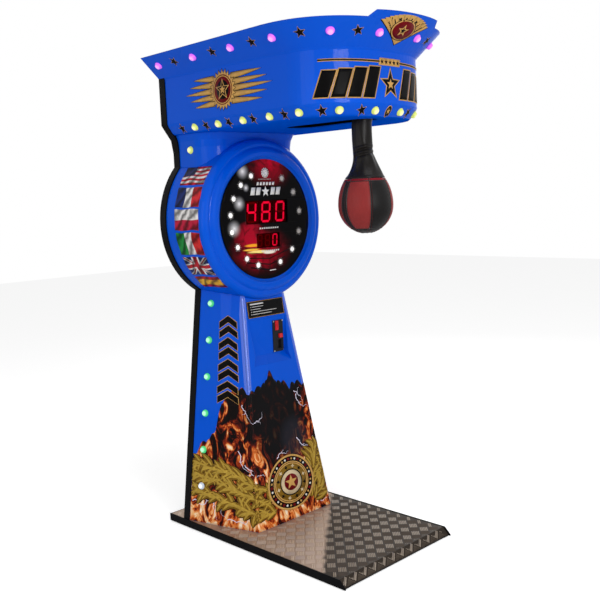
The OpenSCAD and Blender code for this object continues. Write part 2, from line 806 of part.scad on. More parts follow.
box_z = door_z + 40;
box_w = 190;
box_h = 110;
box_d = 130;
box_y = shell_y - 170;
chute_w = 40;
chute_top = mech_bottom;
module coin_chute() {
  y0 = mech_y + 2;
  y1 = box_y + 30;
  x0 = entry_x;
  x1 = 0;
  color("#8f949b")
  difference() {
    loft([
      [[x1 - 22, y1 - 2, box_z + box_h + 4], [x1 + 22, y1 - 2, box_z + box_h + 4],
        [x1 + 22, y1 + 42, box_z + box_h + 4], [x1 - 22, y1 + 42, box_z + box_h + 4]],
      [[x0 - 12, y0 + 38 - 34, chute_top], [x0 + 12, y0 + 38 - 34, chute_top], [x0 + 12, y0 + 44, chute_top], [x0 - 12, y0 + 44, chute_top]]
    ]);
    loft([
      [[x1 - 20, y1, box_z + box_h + 3], [x1 + 20, y1, box_z + box_h + 3],
        [x1 + 20, y1 + 40, box_z + box_h + 3], [x1 - 20, y1 + 40, box_z + box_h + 3]],
      [[x0 - 10, y0 + 6, chute_top + 1], [x0 + 10, y0 + 6, chute_top + 1], [x0 + 10, y0 + 42, chute_top + 1], [x0 - 10, y0 + 42, chute_top + 1]]
    ]);
  }
}

module cash_box() {
  t = 2;
  color("#6e747c")
  difference() {
    block([-box_w / 2, box_y, box_z], [box_w / 2, box_y + box_d, box_z + box_h]);
    block([-box_w / 2 + t, box_y + t, box_z + t], [box_w / 2 - t, box_y + box_d - t, box_z + box_h + 1]);
  }
}

// Shelf that hangs from the uprights and carries the cash box
module cash_shelf() {
  t = 3;
  color("#2a2c30") {
    block([-box_w / 2 - 10, box_y - 5, box_z - t], [box_w / 2 + 10, mast_y, box_z]);
    both() block([box_w / 2 + 10 - t, box_y + 60, box_z], [box_w / 2 + 10, mast_y, box_z + 60]);
    both() block([box_w / 2 + 10 - t, mast_y - t, box_z - t], [mast_x + mast_w - 5, mast_y, box_z + 60]);
  }
}

// HEAD FRAME AND PUNCH MECHANISM
rail_front = pivot_y - 20;
module head_rails() {
  color("#2a2c30")
  both() difference() {
    block([mast_x, rail_front, mast_top], [mast_x + mast_w, rail_end, mast_top + rail_h]);
    block([mast_x + 3, rail_front - 1, mast_top + 3], [mast_x + mast_w - 3, rail_end - 3, mast_top + rail_h - 3]);
  }
}

beam_ys = [pivot_y - 20, pivot_y + slot_len];
module head_beams() {
  color("#2a2c30")
  for (y = beam_ys)
    difference() {
      block([-mast_x - mast_w, y, beam_z], [mast_x + mast_w, y + beam_h, mast_top]);
      block([-mast_x - mast_w - 1, y + 3, beam_z + 3], [mast_x + mast_w + 1, y + beam_h - 3, mast_top - 3]);
    }
}

carriage_z = head_z + 30;
module carriage_plates() {
  color("#33363b")
  both() difference() {
    block([plate_x, pivot_y - 76, carriage_z], [plate_x + plate_t, beam_ys[1] + beam_h, beam_z]);
    translate([0, pivot_y, pivot_z]) rod_x(shaft_r + 4, plate_x - 1, plate_x + plate_t + 1);
    for (sy = [-1, 1])
      translate([0, pivot_y, pivot_z + sy * block_bolt]) rod_x(5.5, plate_x - 1, plate_x + plate_t + 1);
    translate([0, latch_y, latch_z]) rod_x(latch_r + 1, plate_x - 1, plate_x + plate_t + 1);
  }
}

block_bolt = 44;
block_t = 28;
bearing_r = 26;
bearing_w = 15;
block_x = plate_x + plate_t;

// Pillow blocks outside the carriage plates
module bearing_blocks() {
  color("#3f6b4a")
  both() translate([0, pivot_y, pivot_z]) difference() {
    union() {
      rod_x(36, block_x, block_x + block_t);
      block([block_x, -20, -58], [block_x + 14, 20, 58]);
    }
    rod_x(bearing_r, block_x + 6, block_x + block_t + 1);
    rod_x(shaft_r + 4, block_x - 1, block_x + 7);
    for (sy = [-1, 1]) translate([0, 0, sy * block_bolt]) rod_x(5.5, block_x - 1, block_x + 15);
  }
}

module pivot_bearings() {
  color("#c3c7cc")
  both() translate([0, pivot_y, pivot_z]) difference() {
    rod_x(bearing_r, block_x + 6, block_x + 6 + bearing_w);
    rod_x(shaft_r + run_gap, block_x + 5, block_x + 7 + bearing_w);
  }
}

module block_bolts() {
  color("#9a9da3")
  both() for (sy = [-1, 1])
    translate([0, pivot_y, pivot_z + sy * block_bolt]) {
      rod_x(5, plate_x - 1, block_x + 15);
      translate([block_x + 14, 0, 0]) rotate([0, 90, 0]) rotate(30) cylinder(r = 9, h = 7, $fn = 6);
      translate([plate_x - 6, 0, 0]) rotate([0, 90, 0]) rotate(30) cylinder(r = 9, h = 6, $fn = 6);
    }
}

module pivot_shaft() {
  color("#b8bcc2")
  translate([0, pivot_y, pivot_z]) rod_x(shaft_r, -block_x - block_t + 2, block_x + block_t - 2);
}

hub_r = 24;
hub_half = 40;
lug_r = 62;
lug_half = 10;
ball_z = pivot_z - arm_len;
ball_top = ball_z + ball_r - 7;
arm_end = ball_top - 60;

// Hub clamped on the shaft, with the stop lug above, the tube below and the plate that carries the ball
module swing_arm() {
  color("#55595f")
  translate([0, pivot_y, 0]) difference() {
    union() {
      translate([0, 0, pivot_z]) rod_x(hub_r, -eye_x - eye_t + 2, hub_half);
      translate([0, 0, pivot_z]) rotate([latch_angle - swing, 0, 0]) {
        block([-eye_x - eye_t, -14, hub_r - 6], [-eye_x, 14, latch_reach]);
        translate([0, 0, latch_reach]) rod_x(15, -eye_x - eye_t, -eye_x);
      }
      block([-18, -lug_half, pivot_z + hub_r - 6], [18, lug_half, pivot_z + lug_r]);
      translate([0, 0, arm_end]) cylinder(r = arm_r, h = pivot_z - shaft_r - 3 - arm_end);
      translate([0, 0, ball_top]) cylinder(r = 62, h = 5);
    }
    translate([0, 0, pivot_z]) rod_x(shaft_r, -eye_x - eye_t - 1, hub_half + 1);
    translate([0, 0, pivot_z]) rotate([latch_angle - swing, 0, 0]) translate([0, 0, latch_reach])
      rod_x(latch_r + 1, -eye_x - eye_t - 1, -eye_x + 1);
  }
}

// Leather sleeve: a straight tube that flares to a hem over the ball
sleeve_top = pivot_z - 76;
hem_z = ball_z + 113;
knee_z = hem_z + 96;
leather = 3;
function sleeve_flare(t) = mix(sleeve_r + 3, hem_r, pow(t, 1.25));
flare_steps = 6;
module arm_sleeve() {
  outer = concat(
    [[sleeve_r, sleeve_top], [sleeve_r, knee_z + 40], [sleeve_r + 1.5, knee_z + 18], [sleeve_r - 0.5, knee_z + 10]],
    [for (i = [0 : flare_steps]) [sleeve_flare(i / flare_steps), mix(knee_z, hem_z + 8, i / flare_steps)]],
    [[hem_r + 1.5, hem_z + 4], [hem_r, hem_z]]
  );
  inner = concat(
    [[hem_r - leather, hem_z]],
    [for (i = [flare_steps : -1 : 0]) [sleeve_flare(i / flare_steps) - leather - 1, mix(knee_z, hem_z + 8, i / flare_steps)]],
    [[sleeve_r - leather, sleeve_top - 5], [arm_r, sleeve_top - 5], [arm_r, sleeve_top]]
  );
  color("#19191a")
  translate([0, pivot_y, 0]) rotate_extrude($fn = 48) polygon(concat(outer, inner));
}

// Ball of eight leather gores with sunk seams, flat on top where it is laced to the plate
gores = 8;
gore_steps = 5;
ball_rows = 20;
ball_up = 155;
function ball_prof(t) = t < 0 ? ball_r * sqrt(max(0, 1 - pow(t / ball_r, 2))) : ball_r * sqrt(1 - pow(t / ball_up, 2));
function seam(k, r) = 2.2 * pow(abs(cos(180 * k / gore_steps)), 6) * min(1, r / 60);
module punch_ball() {
  n = gores * gore_steps;
  top = ball_top - ball_z;
  rows = [for (j = [0 : ball_rows]) let(u = j / ball_rows, h = -ball_r * cos(90 * min(1, u / 0.58)) ,
    z = u <= 0.58 ? h : top * sin(90 * (u - 0.58) / 0.42), r = max(9, ball_prof(z)))
    [for (i = [0 : n - 1]) let(a = 360 * i / n) [(r - seam(i % gore_steps, r)) * cos(a + 22.5), (r - seam(i % gore_steps, r)) * sin(a + 22.5), z]]];
  color("#7c1a22")
  translate([0, pivot_y, ball_z]) difference() {
    loft(rows);
    translate([0, 0, arm_end - ball_z]) cylinder(r = arm_r, h = 100);
  }
}

// Slotted disc on the shaft and the fork that reads it
disc_x = 56;
disc_r = 40;
module sensor_disc() {
  color("#17181a")
  translate([0, pivot_y, pivot_z]) difference() {
    union() {
      rod_x(disc_r, disc_x, disc_x + 1.5);
      rod_x(18, disc_x - 8, disc_x);
    }
    rod_x(shaft_r, disc_x - 9, disc_x + 3);
    for (k = [0 : 11])
      rotate([k * 15 + 8, 0, 0]) block([disc_x - 1, -1.5, disc_r - 12], [disc_x + 3, 1.5, disc_r - 3]);
  }
}

module optical_sensor() {
  color("#26282c")
  translate([0, pivot_y, pivot_z]) rotate([90, 0, 0]) difference() {
    block([disc_x - 6, -9, -disc_r - 12], [plate_x, 9, -disc_r + 12]);
    block([disc_x - 2, -10, -disc_r - 4], [disc_x + 4, 10, -disc_r + 13]);
  }
}

buffer_len = 15;
buffer_h = 46;
touch = 0.3;
bar_w = 12;

// Two bars between the plates, one on each side of the lug's travel
module buffer_bars() {
  color("#33363b")
  translate([0, pivot_y, pivot_z]) {
    block([-plate_x, lug_half + touch + buffer_len, buffer_h - 12], [plate_x, lug_half + touch + buffer_len + bar_w, buffer_h + 12]);
    rotate([swing, 0, 0])
      block([-plate_x, -lug_half - touch - buffer_len - bar_w, buffer_h - 12], [plate_x, -lug_half - touch - buffer_len, buffer_h + 12]);
  }
}

module rubber_buffers() {
  color("#1c1c1d")
  translate([0, pivot_y, pivot_z]) {
    translate([0, 0, buffer_h]) rod_y(11, lug_half + touch, lug_half + touch + buffer_len);
    rotate([swing, 0, 0]) translate([0, 0, buffer_h]) rod_y(11, -lug_half - touch - buffer_len, -lug_half - touch);
  }
}

// The bolt slides into the hole of the arm's latch eye when the ball is up
latch_angle = 258;
latch_reach = 66;
latch_r = 8;
latch_travel = 16;
eye_x = 44;
eye_t = 8;
latch_y = pivot_y - latch_reach * sin(latch_angle);
latch_z = pivot_z + latch_reach * cos(latch_angle);
bolt_tip = eye_x + eye_t + 4;
module latch_bolt() {
  color("#b8bcc2")
  mirror([1, 0, 0]) translate([0, latch_y, latch_z]) {
    rod_x(latch_r, bolt_tip, plate_x + plate_t + 30);
    rod_x(latch_r + 5, plate_x + plate_t + 30, plate_x + plate_t + 34);
  }
}

solenoid_gap = 20;
module latch_solenoid() {
  x0 = plate_x + plate_t;
  color("#3a3d42")
  mirror([1, 0, 0]) translate([0, latch_y, latch_z]) difference() {
    block([x0, -20, -20], [x0 + 62, 20, 20]);
    rod_x(latch_r + run_gap, x0 - 1, x0 + 13);
    rod_x(latch_r + 8, x0 + 12, x0 + 56);
  }
}

// LAMPS
// Each cap is set a little into the shell that carries it
lamp_sink = 1.5;
module lamp_cap() {
  rotate_extrude($fn = 24) polygon([
    [0, 0], [lamp_r, 0], [lamp_r, 2.5], [lamp_r * 0.88, 4], [lamp_r * 0.78, 8],
    [lamp_r * 0.56, 12.4], [lamp_r * 0.28, 15], [0, 15.8]
  ]);
}

// Length along the head's plan from the nose, by short steps
arc_steps = 90;
function arc_pts(o) = [for (i = [0 : arc_steps]) nose_pt(90 * i / arc_steps, o)];
function arc_len(p) = [for (i = 0, s = 0; i < len(p); i = i + 1, s = s + (i < len(p) ? norm(p[i] - p[i - 1]) : 0)) s];
function place_at(s, p, l) = s >= l[len(l) - 1]
  ? [p[len(p) - 1][0], p[len(p) - 1][1] + s - l[len(l) - 1], 90]
  : let(k = max([for (i = [0 : len(l) - 2]) if (l[i] <= s) i]), f = (s - l[k]) / (l[k + 1] - l[k]), d = p[k + 1] - p[k])
    [mix(p[k][0], p[k + 1][0], f), mix(p[k][1], p[k + 1][1], f), atan2(d[1], d[0])];

head_lamp_o = -chamfer_w * 0.42;
head_lamp_z = head_z + chamfer_h * 0.46;
head_lamp_tilt = -atan(chamfer_w * 0.6 / (chamfer_h * 0.64));
crown_lamp_o = crown_lip + crown_slope * 51;
crown_lamp_z = crown_z + 51;
crown_lamp_tilt = -atan(crown_slope);
crown_run = arc_len(arc_pts(crown_lamp_o))[arc_steps] + casing_y - nose_start;
crown_lamp_pitch = (crown_run - crown_lamp_back) / 5.31;

// Lamp standing square on a wall that leans by tilt, at length s from the nose
module wall_lamp(s, o, z, tilt) {
  p = arc_pts(o);
  at = place_at(s, p, arc_len(p));
  translate([at[0], at[1], z]) rotate([0, 0, at[2]]) rotate([90 - tilt, 0, 0]) translate([0, 0, -lamp_sink]) lamp_cap();
}

neck_lamp_z = head_z - neck_lamp_drop;
module head_lamps() {
  color("#f2ee7a")
  both() {
    for (k = [0 : 6]) wall_lamp(lamp_pitch * (k + 0.48), head_lamp_o, head_lamp_z, head_lamp_tilt);
    translate([neck_w / 2, shell_y - neck_lamp_back, neck_lamp_z]) rotate([0, 90, 0]) translate([0, 0, -lamp_sink]) lamp_cap();
  }
}

module crown_lamps() {
  color("#f07ae8")
  both() {
    wall_lamp(crown_lamp_pitch * 0.47, crown_lamp_o, crown_lamp_z, crown_lamp_tilt);
    for (k = [0 : 4]) wall_lamp(crown_lamp_pitch * (k + 1.31), crown_lamp_o, crown_lamp_z, crown_lamp_tilt);
  }
}

// Lamps up the column's sides, square to the wall
module column_lamps() {
  y = shell_y - 58;
  z0 = 206;
  color("#7df08a")
  both() for (k = [0 : 5]) {
    z = z0 + k * column_lamp_pitch;
    mid = mix(col_back(z), col_front(z), 0.5) + 5;
    half_d = (shell_y - col_y(z)) / 2;
    x = mix(col_back(z), mid, 58 / half_d);
    turn = atan((col_back(z) - mid) / half_d);
    lean = atan((column_back_w - column_back_top_w) / 2 / (column_top_z - platform_h));
    translate([x, y, z]) rotate([0, 0, -turn]) rotate([0, 90 - lean, 0]) translate([0, 0, -lamp_sink]) lamp_cap();
  }
}

// SERVICE DOOR
hinge_x = door_w / 2 + door_gap + 3;
hinge_y = casing_y + 4.5;
hinge_r = 4.5;
pin_r = 2.5;
knuckle = 16;
hinge_zs = [door_z + 60, door_z + door_h - 60];
lock_x = -door_w / 2 + 65;
lock_z = door_z + door_h - 26;
lock_r = 9;

module rear_door() {
  color("#101012")
  difference() {
    union() {
      block([-door_w / 2, casing_y - 3, door_z], [door_w / 2, casing_y, door_z + door_h]);
      for (z = hinge_zs) {
        translate([hinge_x, hinge_y, z - knuckle / 2]) cylinder(r = hinge_r, h = knuckle);
        block([door_w / 2 - 24, casing_y, z - knuckle / 2], [hinge_x, casing_y + 2, z + knuckle / 2]);
      }
    }
    for (z = hinge_zs)
      translate([hinge_x, hinge_y, z - knuckle]) cylinder(r = pin_r + run_gap, h = knuckle * 2);
    translate([lock_x, 0, lock_z]) rod_y(lock_r, casing_y - 4, casing_y + 1);
    for (k = [0 : 5])
      block([-60, casing_y - 4, door_z + 60 + k * 14], [60, casing_y + 1, door_z + 66 + k * 14]);
  }
}

// Fixed knuckles above and below each door knuckle, with their leaves on the casing
module door_hinges() {
  color("#3b3d41")
  for (z = hinge_zs) for (s = [-1, 1]) {
    zc = z + s * (knuckle + 0.4);
    difference() {
      union() {
        translate([hinge_x, hinge_y, zc - knuckle / 2]) cylinder(r = hinge_r, h = knuckle);
        block([hinge_x, casing_y, zc - knuckle / 2], [hinge_x + 26, casing_y + 2, zc + knuckle / 2]);
      }
      translate([hinge_x, hinge_y, zc - knuckle]) cylinder(r = pin_r, h = knuckle * 2);
    }
  }
}

module hinge_pins() {
  color("#b8bcc2")
  for (z = hinge_zs)
    translate([hinge_x, hinge_y, z - knuckle * 1.5 - 1]) cylinder(r = pin_r, h = knuckle * 3 + 2);
}

// Cam lock: the barrel is fixed in the door, the cam turns up behind the casing's edge
cam_y = casing_y - 8;
module lock_barrel() {
  color("#c3c7cc")
  translate([lock_x, 0, lock_z]) difference() {
    union() {
      rod_y(lock_r, cam_y + 3, casing_y + 1);
      rod_y(lock_r + 3, casing_y, casing_y + 4);
    }
    rod_y(4 + run_gap, cam_y, casing_y + 5);
  }
}

module lock_cam() {
  color("#9a9da3")
  translate([lock_x, 0, lock_z]) {
    rod_y(4, cam_y, casing_y + 3);
    rod_y(9, cam_y, cam_y + 2.5);
    block([0, cam_y, -7], [40, cam_y + 2.5, 7]);
  }
}

// ELECTRICS
module mains_inlet() {
  color("#1a1a1c")
  translate([inlet_x, 0, inlet_z]) difference() {
    union() {
      block([-30, casing_y, -36], [30, casing_y + 3, 36]);
      block([-23.5, casing_y - 30, -29.5], [23.5, casing_y, 29.5]);
    }
    inlet_hollow();
    block([-9.4, casing_y - 16, 3.4], [9.4, casing_y + 4, 26.6]);
  }
}

module inlet_hollow() {
  difference() {
    block([-12, casing_y - 14, -26], [12, casing_y + 4, -8]);
    for (p = [[-7, -19], [0, -14], [7, -19]])
      block([p[0] - 1, casing_y - 15, p[1] - 2], [p[0] + 1, casing_y - 2, p[1] + 2]);
  }
}

// Rocker switch above the socket, resting tipped to its off side
rocker_tilt = 9;
rocker_z = inlet_z + 15;
rocker_y = casing_y - 4;
module power_switch() {
  color("#a3151a")
  translate([inlet_x, rocker_y, rocker_z]) rotate([-rocker_tilt, 0, 0]) intersection() {
    rotate([0, 90, 0]) translate([0, 0, -9]) cylinder(r = 10.2, h = 18);
    block([-9, -4, -10], [9, 8.5, 10]);
  }
}

module control_board() {
  x = mast_x - 14;
  z = drum_z + 60;
  color("#0f4a24") {
    block([-x, casing_y - casing_skin - 12, z], [x, casing_y - casing_skin - 10, z + 150]);
    for (sx = [-1, 1]) for (dz = [12, 138])
      translate([sx * (x - 12), 0, z + dz]) rod_y(4, casing_y - casing_skin - 10, casing_y - casing_skin);
    block([-40, casing_y - casing_skin - 22, z + 50], [0, casing_y - casing_skin - 12, z + 90]);
    block([30, casing_y - casing_skin - 26, z + 20], [70, casing_y - casing_skin - 12, z + 40]);
  }
}

module power_supply() {
  color("#a9adb3")
  block([-100, casing_y - casing_skin - 38, drum_z - 160], [100, casing_y - casing_skin, drum_z - 62]);
}

module speaker() {
  color("#26272a")
  translate([0, casing_y - casing_skin, speaker_z]) rotate([90, 0, 0]) difference() {
    union() {
      cylinder(r = 65, h = 4);
      cylinder(r1 = 58, r2 = 34, h = 26);
      cylinder(r = 34, h = 44);
    }
    translate([0, 0, -1]) cylinder(r1 = 53, r2 = 20, h = 20);
  }
}

base_side_rails();
base_cross_rails();
tread_plate();
foot_pads();
mast_uprights();
mast_foot_plates();
mast_ties();
anchor_bolts();
rear_casing();
column_shell();
drum_shell();
neck_shell();
head_shell();
crown();
head_lid();
display_lens();
display_board();
score_digits();
credit_digits();
display_lamps();
rules_plate();
coin_plate();
coin_entry();
reject_button();
reject_spring();
plate_screws();
coin_mech();
return_cup();
coin_chute();
cash_box();
cash_shelf();
head_rails();
head_beams();
carriage_plates();
bearing_blocks();
pivot_bearings();
block_bolts();
pivot_shaft();
swing_arm();
arm_sleeve();
punch_ball();
sensor_disc();
optical_sensor();
buffer_bars();
rubber_buffers();
latch_solenoid();
latch_bolt();
head_lamps();
crown_lamps();
column_lamps();
rear_door();
door_hinges();
hinge_pins();
lock_barrel();
lock_cam();
mains_inlet();
power_switch();
control_board();
power_supply();
speaker();
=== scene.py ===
import math
import bmesh
import bpy
import numpy as np
from mathutils import Matrix, Vector


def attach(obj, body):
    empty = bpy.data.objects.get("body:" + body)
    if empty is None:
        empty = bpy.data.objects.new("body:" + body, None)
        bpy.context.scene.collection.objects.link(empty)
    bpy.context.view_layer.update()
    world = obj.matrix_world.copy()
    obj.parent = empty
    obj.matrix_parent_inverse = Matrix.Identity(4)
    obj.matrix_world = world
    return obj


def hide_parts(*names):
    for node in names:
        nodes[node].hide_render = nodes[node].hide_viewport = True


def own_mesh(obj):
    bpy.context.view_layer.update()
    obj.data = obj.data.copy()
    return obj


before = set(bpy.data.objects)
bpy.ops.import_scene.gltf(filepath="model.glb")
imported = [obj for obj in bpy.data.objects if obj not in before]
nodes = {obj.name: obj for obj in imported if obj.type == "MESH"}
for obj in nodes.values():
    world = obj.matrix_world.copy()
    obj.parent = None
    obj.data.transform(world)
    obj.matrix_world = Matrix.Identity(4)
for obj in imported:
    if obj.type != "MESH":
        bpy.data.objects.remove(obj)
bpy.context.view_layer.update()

# THE VIEW
# The machine stands free on a pale studio floor and is seen from its left front, at about
# chest height. A 36 mm wide film and a 50.77 mm lens give the measured field of view.
eye = Vector((-2.635785, -2.651340, 1.535265))
yaw, pitch, roll = 0.776, -0.122, -0.041
ahead = Vector((math.sin(yaw) * math.cos(pitch), math.cos(yaw) * math.cos(pitch), math.sin(pitch)))
level = Vector((math.cos(yaw), -math.sin(yaw), 0))
over = level.cross(ahead)
across = math.cos(roll) * level + math.sin(roll) * over
upward = -math.sin(roll) * level + math.cos(roll) * over
lens = bpy.data.cameras.new("view")
lens.sensor_width = 36
lens.lens = 50.77
lens.clip_end = 60
viewer = bpy.data.objects.new("view", lens)
viewer.matrix_world = Matrix.Translation(eye) @ Matrix((across, upward, -ahead)).transposed().to_4x4()
bpy.context.scene.collection.objects.link(viewer)
bpy.context.scene.camera = viewer
bpy.context.scene.view_settings.view_transform = "Standard"

# THE STUDIO
# A white room: the background is white to the camera and in reflections. The soft light on
# the machine comes from the room and four large lamps: in front, at the left, on top and behind.
def add(tree, kind, feeds=None, **settings):
    """A new shader node: settings are its options, and feeds fill its inputs, each with a number,
    a colour, a socket, or the first output of another node."""
    node = tree.nodes.new("ShaderNode" + kind)
    for key, value in settings.items():
        setattr(node, key, value)
    for key, value in (feeds or {}).items():
        if isinstance(value, bpy.types.Node):
            value = value.outputs[0]
        if isinstance(value, bpy.types.NodeSocket):
            tree.links.new(value, node.inputs[key])
        else:
            node.inputs[key].default_value = value
    return node


def calc(tree, operation, *values):
    """One step of arithmetic on numbers, sockets or nodes."""
    return add(tree, "Math", dict(enumerate(values)), operation=operation).outputs[0]


def empty(owner):
    """The node tree of a world or a material, cleared."""
    owner.use_nodes = True
    owner.node_tree.nodes.clear()
    return owner.node_tree


room = bpy.data.worlds.new("room")
bpy.context.scene.world = room
tree = empty(room)
seen = add(tree, "LightPath")
through = calc(tree, "MAXIMUM", seen.outputs["Is Camera Ray"], seen.outputs["Is Transmission Ray"])
shown = calc(tree, "MAXIMUM", through, seen.outputs["Is Glossy Ray"])
soft = add(tree, "Background", {"Color": (1, 1, 1, 1), "Strength": 0.52})
white = add(tree, "Background", {"Color": (1, 1, 1, 1), "Strength": 1.0})
add(tree, "OutputWorld", {0: add(tree, "MixShader", {0: shown, 1: soft, 2: white})})

for name, place, size, power in (
    ("key", (-1.5, -5.4, 2.3), 1.8, 118.0),
    ("fill", (-4.6, -0.6, 2.0), 2.6, 30.0),
    ("top", (-0.6, -1.6, 5.2), 1.6, 70.0),
    ("rim", (3.6, 1.8, 3.2), 2.0, 24.0),
):
    lamp = bpy.data.lights.new(name, "AREA")
    lamp.size = size
    lamp.energy = power
    held = bpy.data.objects.new(name, lamp)
    held.matrix_world = Matrix.Translation(place) @ (
        Vector((0, 0, 1.2)) - Vector(place)
    ).to_track_quat("-Z", "Y").to_matrix().to_4x4()
    bpy.context.scene.collection.objects.link(held)

ground = bpy.data.meshes.new("studio_floor")
ground.from_pydata([(-14, -14, 0), (14, -14, 0), (14, 14, 0), (-14, 14, 0)], [], [(0, 1, 2, 3)])
floor = bpy.data.objects.new("studio_floor", ground)
bpy.context.scene.collection.objects.link(floor)
paper = bpy.data.materials.new("studio_paper")
tree = empty(paper)
gain = calc(tree, "MULTIPLY", add(tree, "LightPath").outputs["Is Camera Ray"], 0.50)
matt = add(tree, "BsdfDiffuse", {"Color": (0.80, 0.80, 0.80, 1)})
lift = add(tree, "Emission", {"Strength": gain})
add(tree, "OutputMaterial", {0: add(tree, "AddShader", {0: matt, 1: lift})})
ground.materials.append(paper)


# PLATFORM
# A welded frame of black steel angle with box members under it, and an aluminium five-bar
# tread plate that lies on the members and is folded down at the toe. It stands on rubber pads.
def shade(r, g, b):
    """Linear colour of a printed sRGB value of 0 to 255."""
    c = np.array([r, g, b]) / 255.0
    c = np.where(c <= 0.04045, c / 12.92, ((c + 0.055) / 1.055) ** 2.4)
    return tuple(float(v) for v in c) + (1.0,)


def show(tree, feeds):
    """One Principled shader with these inputs as the whole surface."""
    add(tree, "OutputMaterial", {0: add(tree, "BsdfPrincipled", feeds)})


def noise(tree, where, scale, detail=2.0, rough=0.5, twist=0.0):
    """A cloudy value, mostly between 0.3 and 0.7."""
    return add(tree, "TexNoise", {"Vector": where, "Scale": scale, "Detail": detail, "Roughness": rough,
                                  "Distortion": twist})


def remap(tree, value, low, high, to_low=0.0, to_high=1.0, **settings):
    """A value carried from one range to another, and held at its ends."""
    return add(tree, "MapRange", {0: value, "From Min": low, "From Max": high, "To Min": to_low,
                                  "To Max": to_high}, **settings)


def blend(tree, share, a, b, how="MIX"):
    """Colour a turned into colour b by a share."""
    return add(tree, "Mix", {0: share, "A": a, "B": b}, data_type="RGBA", blend_type=how).outputs["Result"]


def finish(name, tone, rough, metal=0.0, gloss=0.5, vary=0.12, patch=5.0, grain=300.0, depth=0.0003,
           bite=0.3, stretch=(1, 1, 1), coat=0.0, glow=0.0, round_off=0.0, scuff=None):
    """A surface finish: the tone drifts up and down by vary with a slow noise, the roughness
    drifts with it, and a fine noise raises a grain of that depth. round_off softens edges, and
    scuff is a second tone that shows in thin worn streaks."""
    m = bpy.data.materials.new(name)
    t = empty(m)
    pull = add(t, "Mapping", {0: add(t, "TexCoord").outputs["Object"], "Scale": stretch})
    slow = noise(t, pull, patch, 4)
    deep = tuple(max(0.0, v * (1 - vary)) for v in tone[:3]) + (1,)
    pale = tuple(min(1.0, v * (1 + vary) + 0.002 * vary) for v in tone[:3]) + (1,)
    colour = blend(t, slow, deep, pale)
    if scuff:
        worn = noise(t, pull, patch * 7, 8, 0.7)
        colour = blend(t, remap(t, worn, 0.60, 0.72, 0.0, 0.8), colour, scuff)
    relief = {"Height": noise(t, pull, grain, 3), "Strength": bite, "Distance": depth}
    if round_off:
        relief["Normal"] = add(t, "Bevel", {"Radius": round_off}, samples=4)
    feeds = {"Base Color": colour, "Metallic": metal, "Specular IOR Level": gloss, "Coat Weight": coat,
             "Coat Roughness": 0.06, "Normal": add(t, "Bump", relief),
             "Roughness": remap(t, slow, 0.3, 0.7, rough * 0.8, min(1.0, rough * 1.25))}
    if glow:
        feeds.update({"Emission Color": colour, "Emission Strength": glow})
    show(t, feeds)
    return m


def dress(material, *names):
    """Gives CAD nodes their finish."""
    for n in names:
        for s in nodes[n].material_slots:
            s.material = material


def opened(m):
    """A finish opened for a change: its tree, its shader, the colour it had, the place of a
    point, and that place's X, Y and Z."""
    t = m.node_tree
    body = next(n for n in t.nodes if n.type == "BSDF_PRINCIPLED")
    place = add(t, "TexCoord").outputs["Object"]
    apart = add(t, "SeparateXYZ", {0: place}).outputs
    return t, body, body.inputs["Base Color"].links[0].from_socket, place, [apart[k] for k in "XYZ"]


def painted_reflection(m, tone, share):
    """Paints a reflection on the plate before the column: past a slanting line across
    the platform the base colour turns to another, brighter tone, with a ragged edge."""
    t, body, had, place, (x, y, _) = opened(m)
    line = calc(t, "MULTIPLY_ADD", y, 0.755, calc(t, "MULTIPLY", x, -0.656))
    ragged = calc(t, "MULTIPLY_ADD", noise(t, place, 22), 0.03, line)
    reflection_share = remap(t, ragged, -0.060, -0.034, 0.0, share, interpolation_type="SMOOTHSTEP")
    t.links.new(blend(t, reflection_share, had, tone), body.inputs["Base Color"])
    return m


frame_paint = finish("frame_paint", shade(8, 8, 10), 0.42, gloss=0.05, vary=0.3, grain=500, depth=0.0002,
                     round_off=0.001, scuff=shade(30, 29, 29))
# The tread and its bars carry a painted reflection before the column: a brighter tone past a slanting line.
tread_metal = painted_reflection(finish("tread_metal", shade(52, 45, 39), 0.5, metal=0.75, gloss=0.1, vary=0.35, patch=7,
                            grain=420, depth=0.0003, scuff=shade(36, 30, 26)), shade(176, 154, 137), 0.95)
# The bars take a lit copy and a shaded copy of one metal, one for each way they are turned: painted light and painted
# shade.
bar_metal_painted_lit = painted_reflection(finish("bar_metal_painted_lit", shade(140, 128, 115), 0.42, metal=0.8, gloss=0.2, vary=0.35, patch=9, grain=500,
                          depth=0.0002), shade(190, 170, 152), 0.9)
bar_metal_painted_shade = painted_reflection(finish("bar_metal_painted_shade", shade(76, 67, 59), 0.5, metal=0.8, gloss=0.1, vary=0.35, patch=9, grain=500,
                          depth=0.0002), shade(184, 163, 146), 0.9)
pad_rubber = finish("pad_rubber", shade(24, 24, 25), 0.8, gloss=0.3, grain=700, depth=0.0004)
dress(frame_paint, "base_side_rails", "base_cross_rails")
dress(tread_metal, "tread_plate")
dress(pad_rubber, "foot_pads")


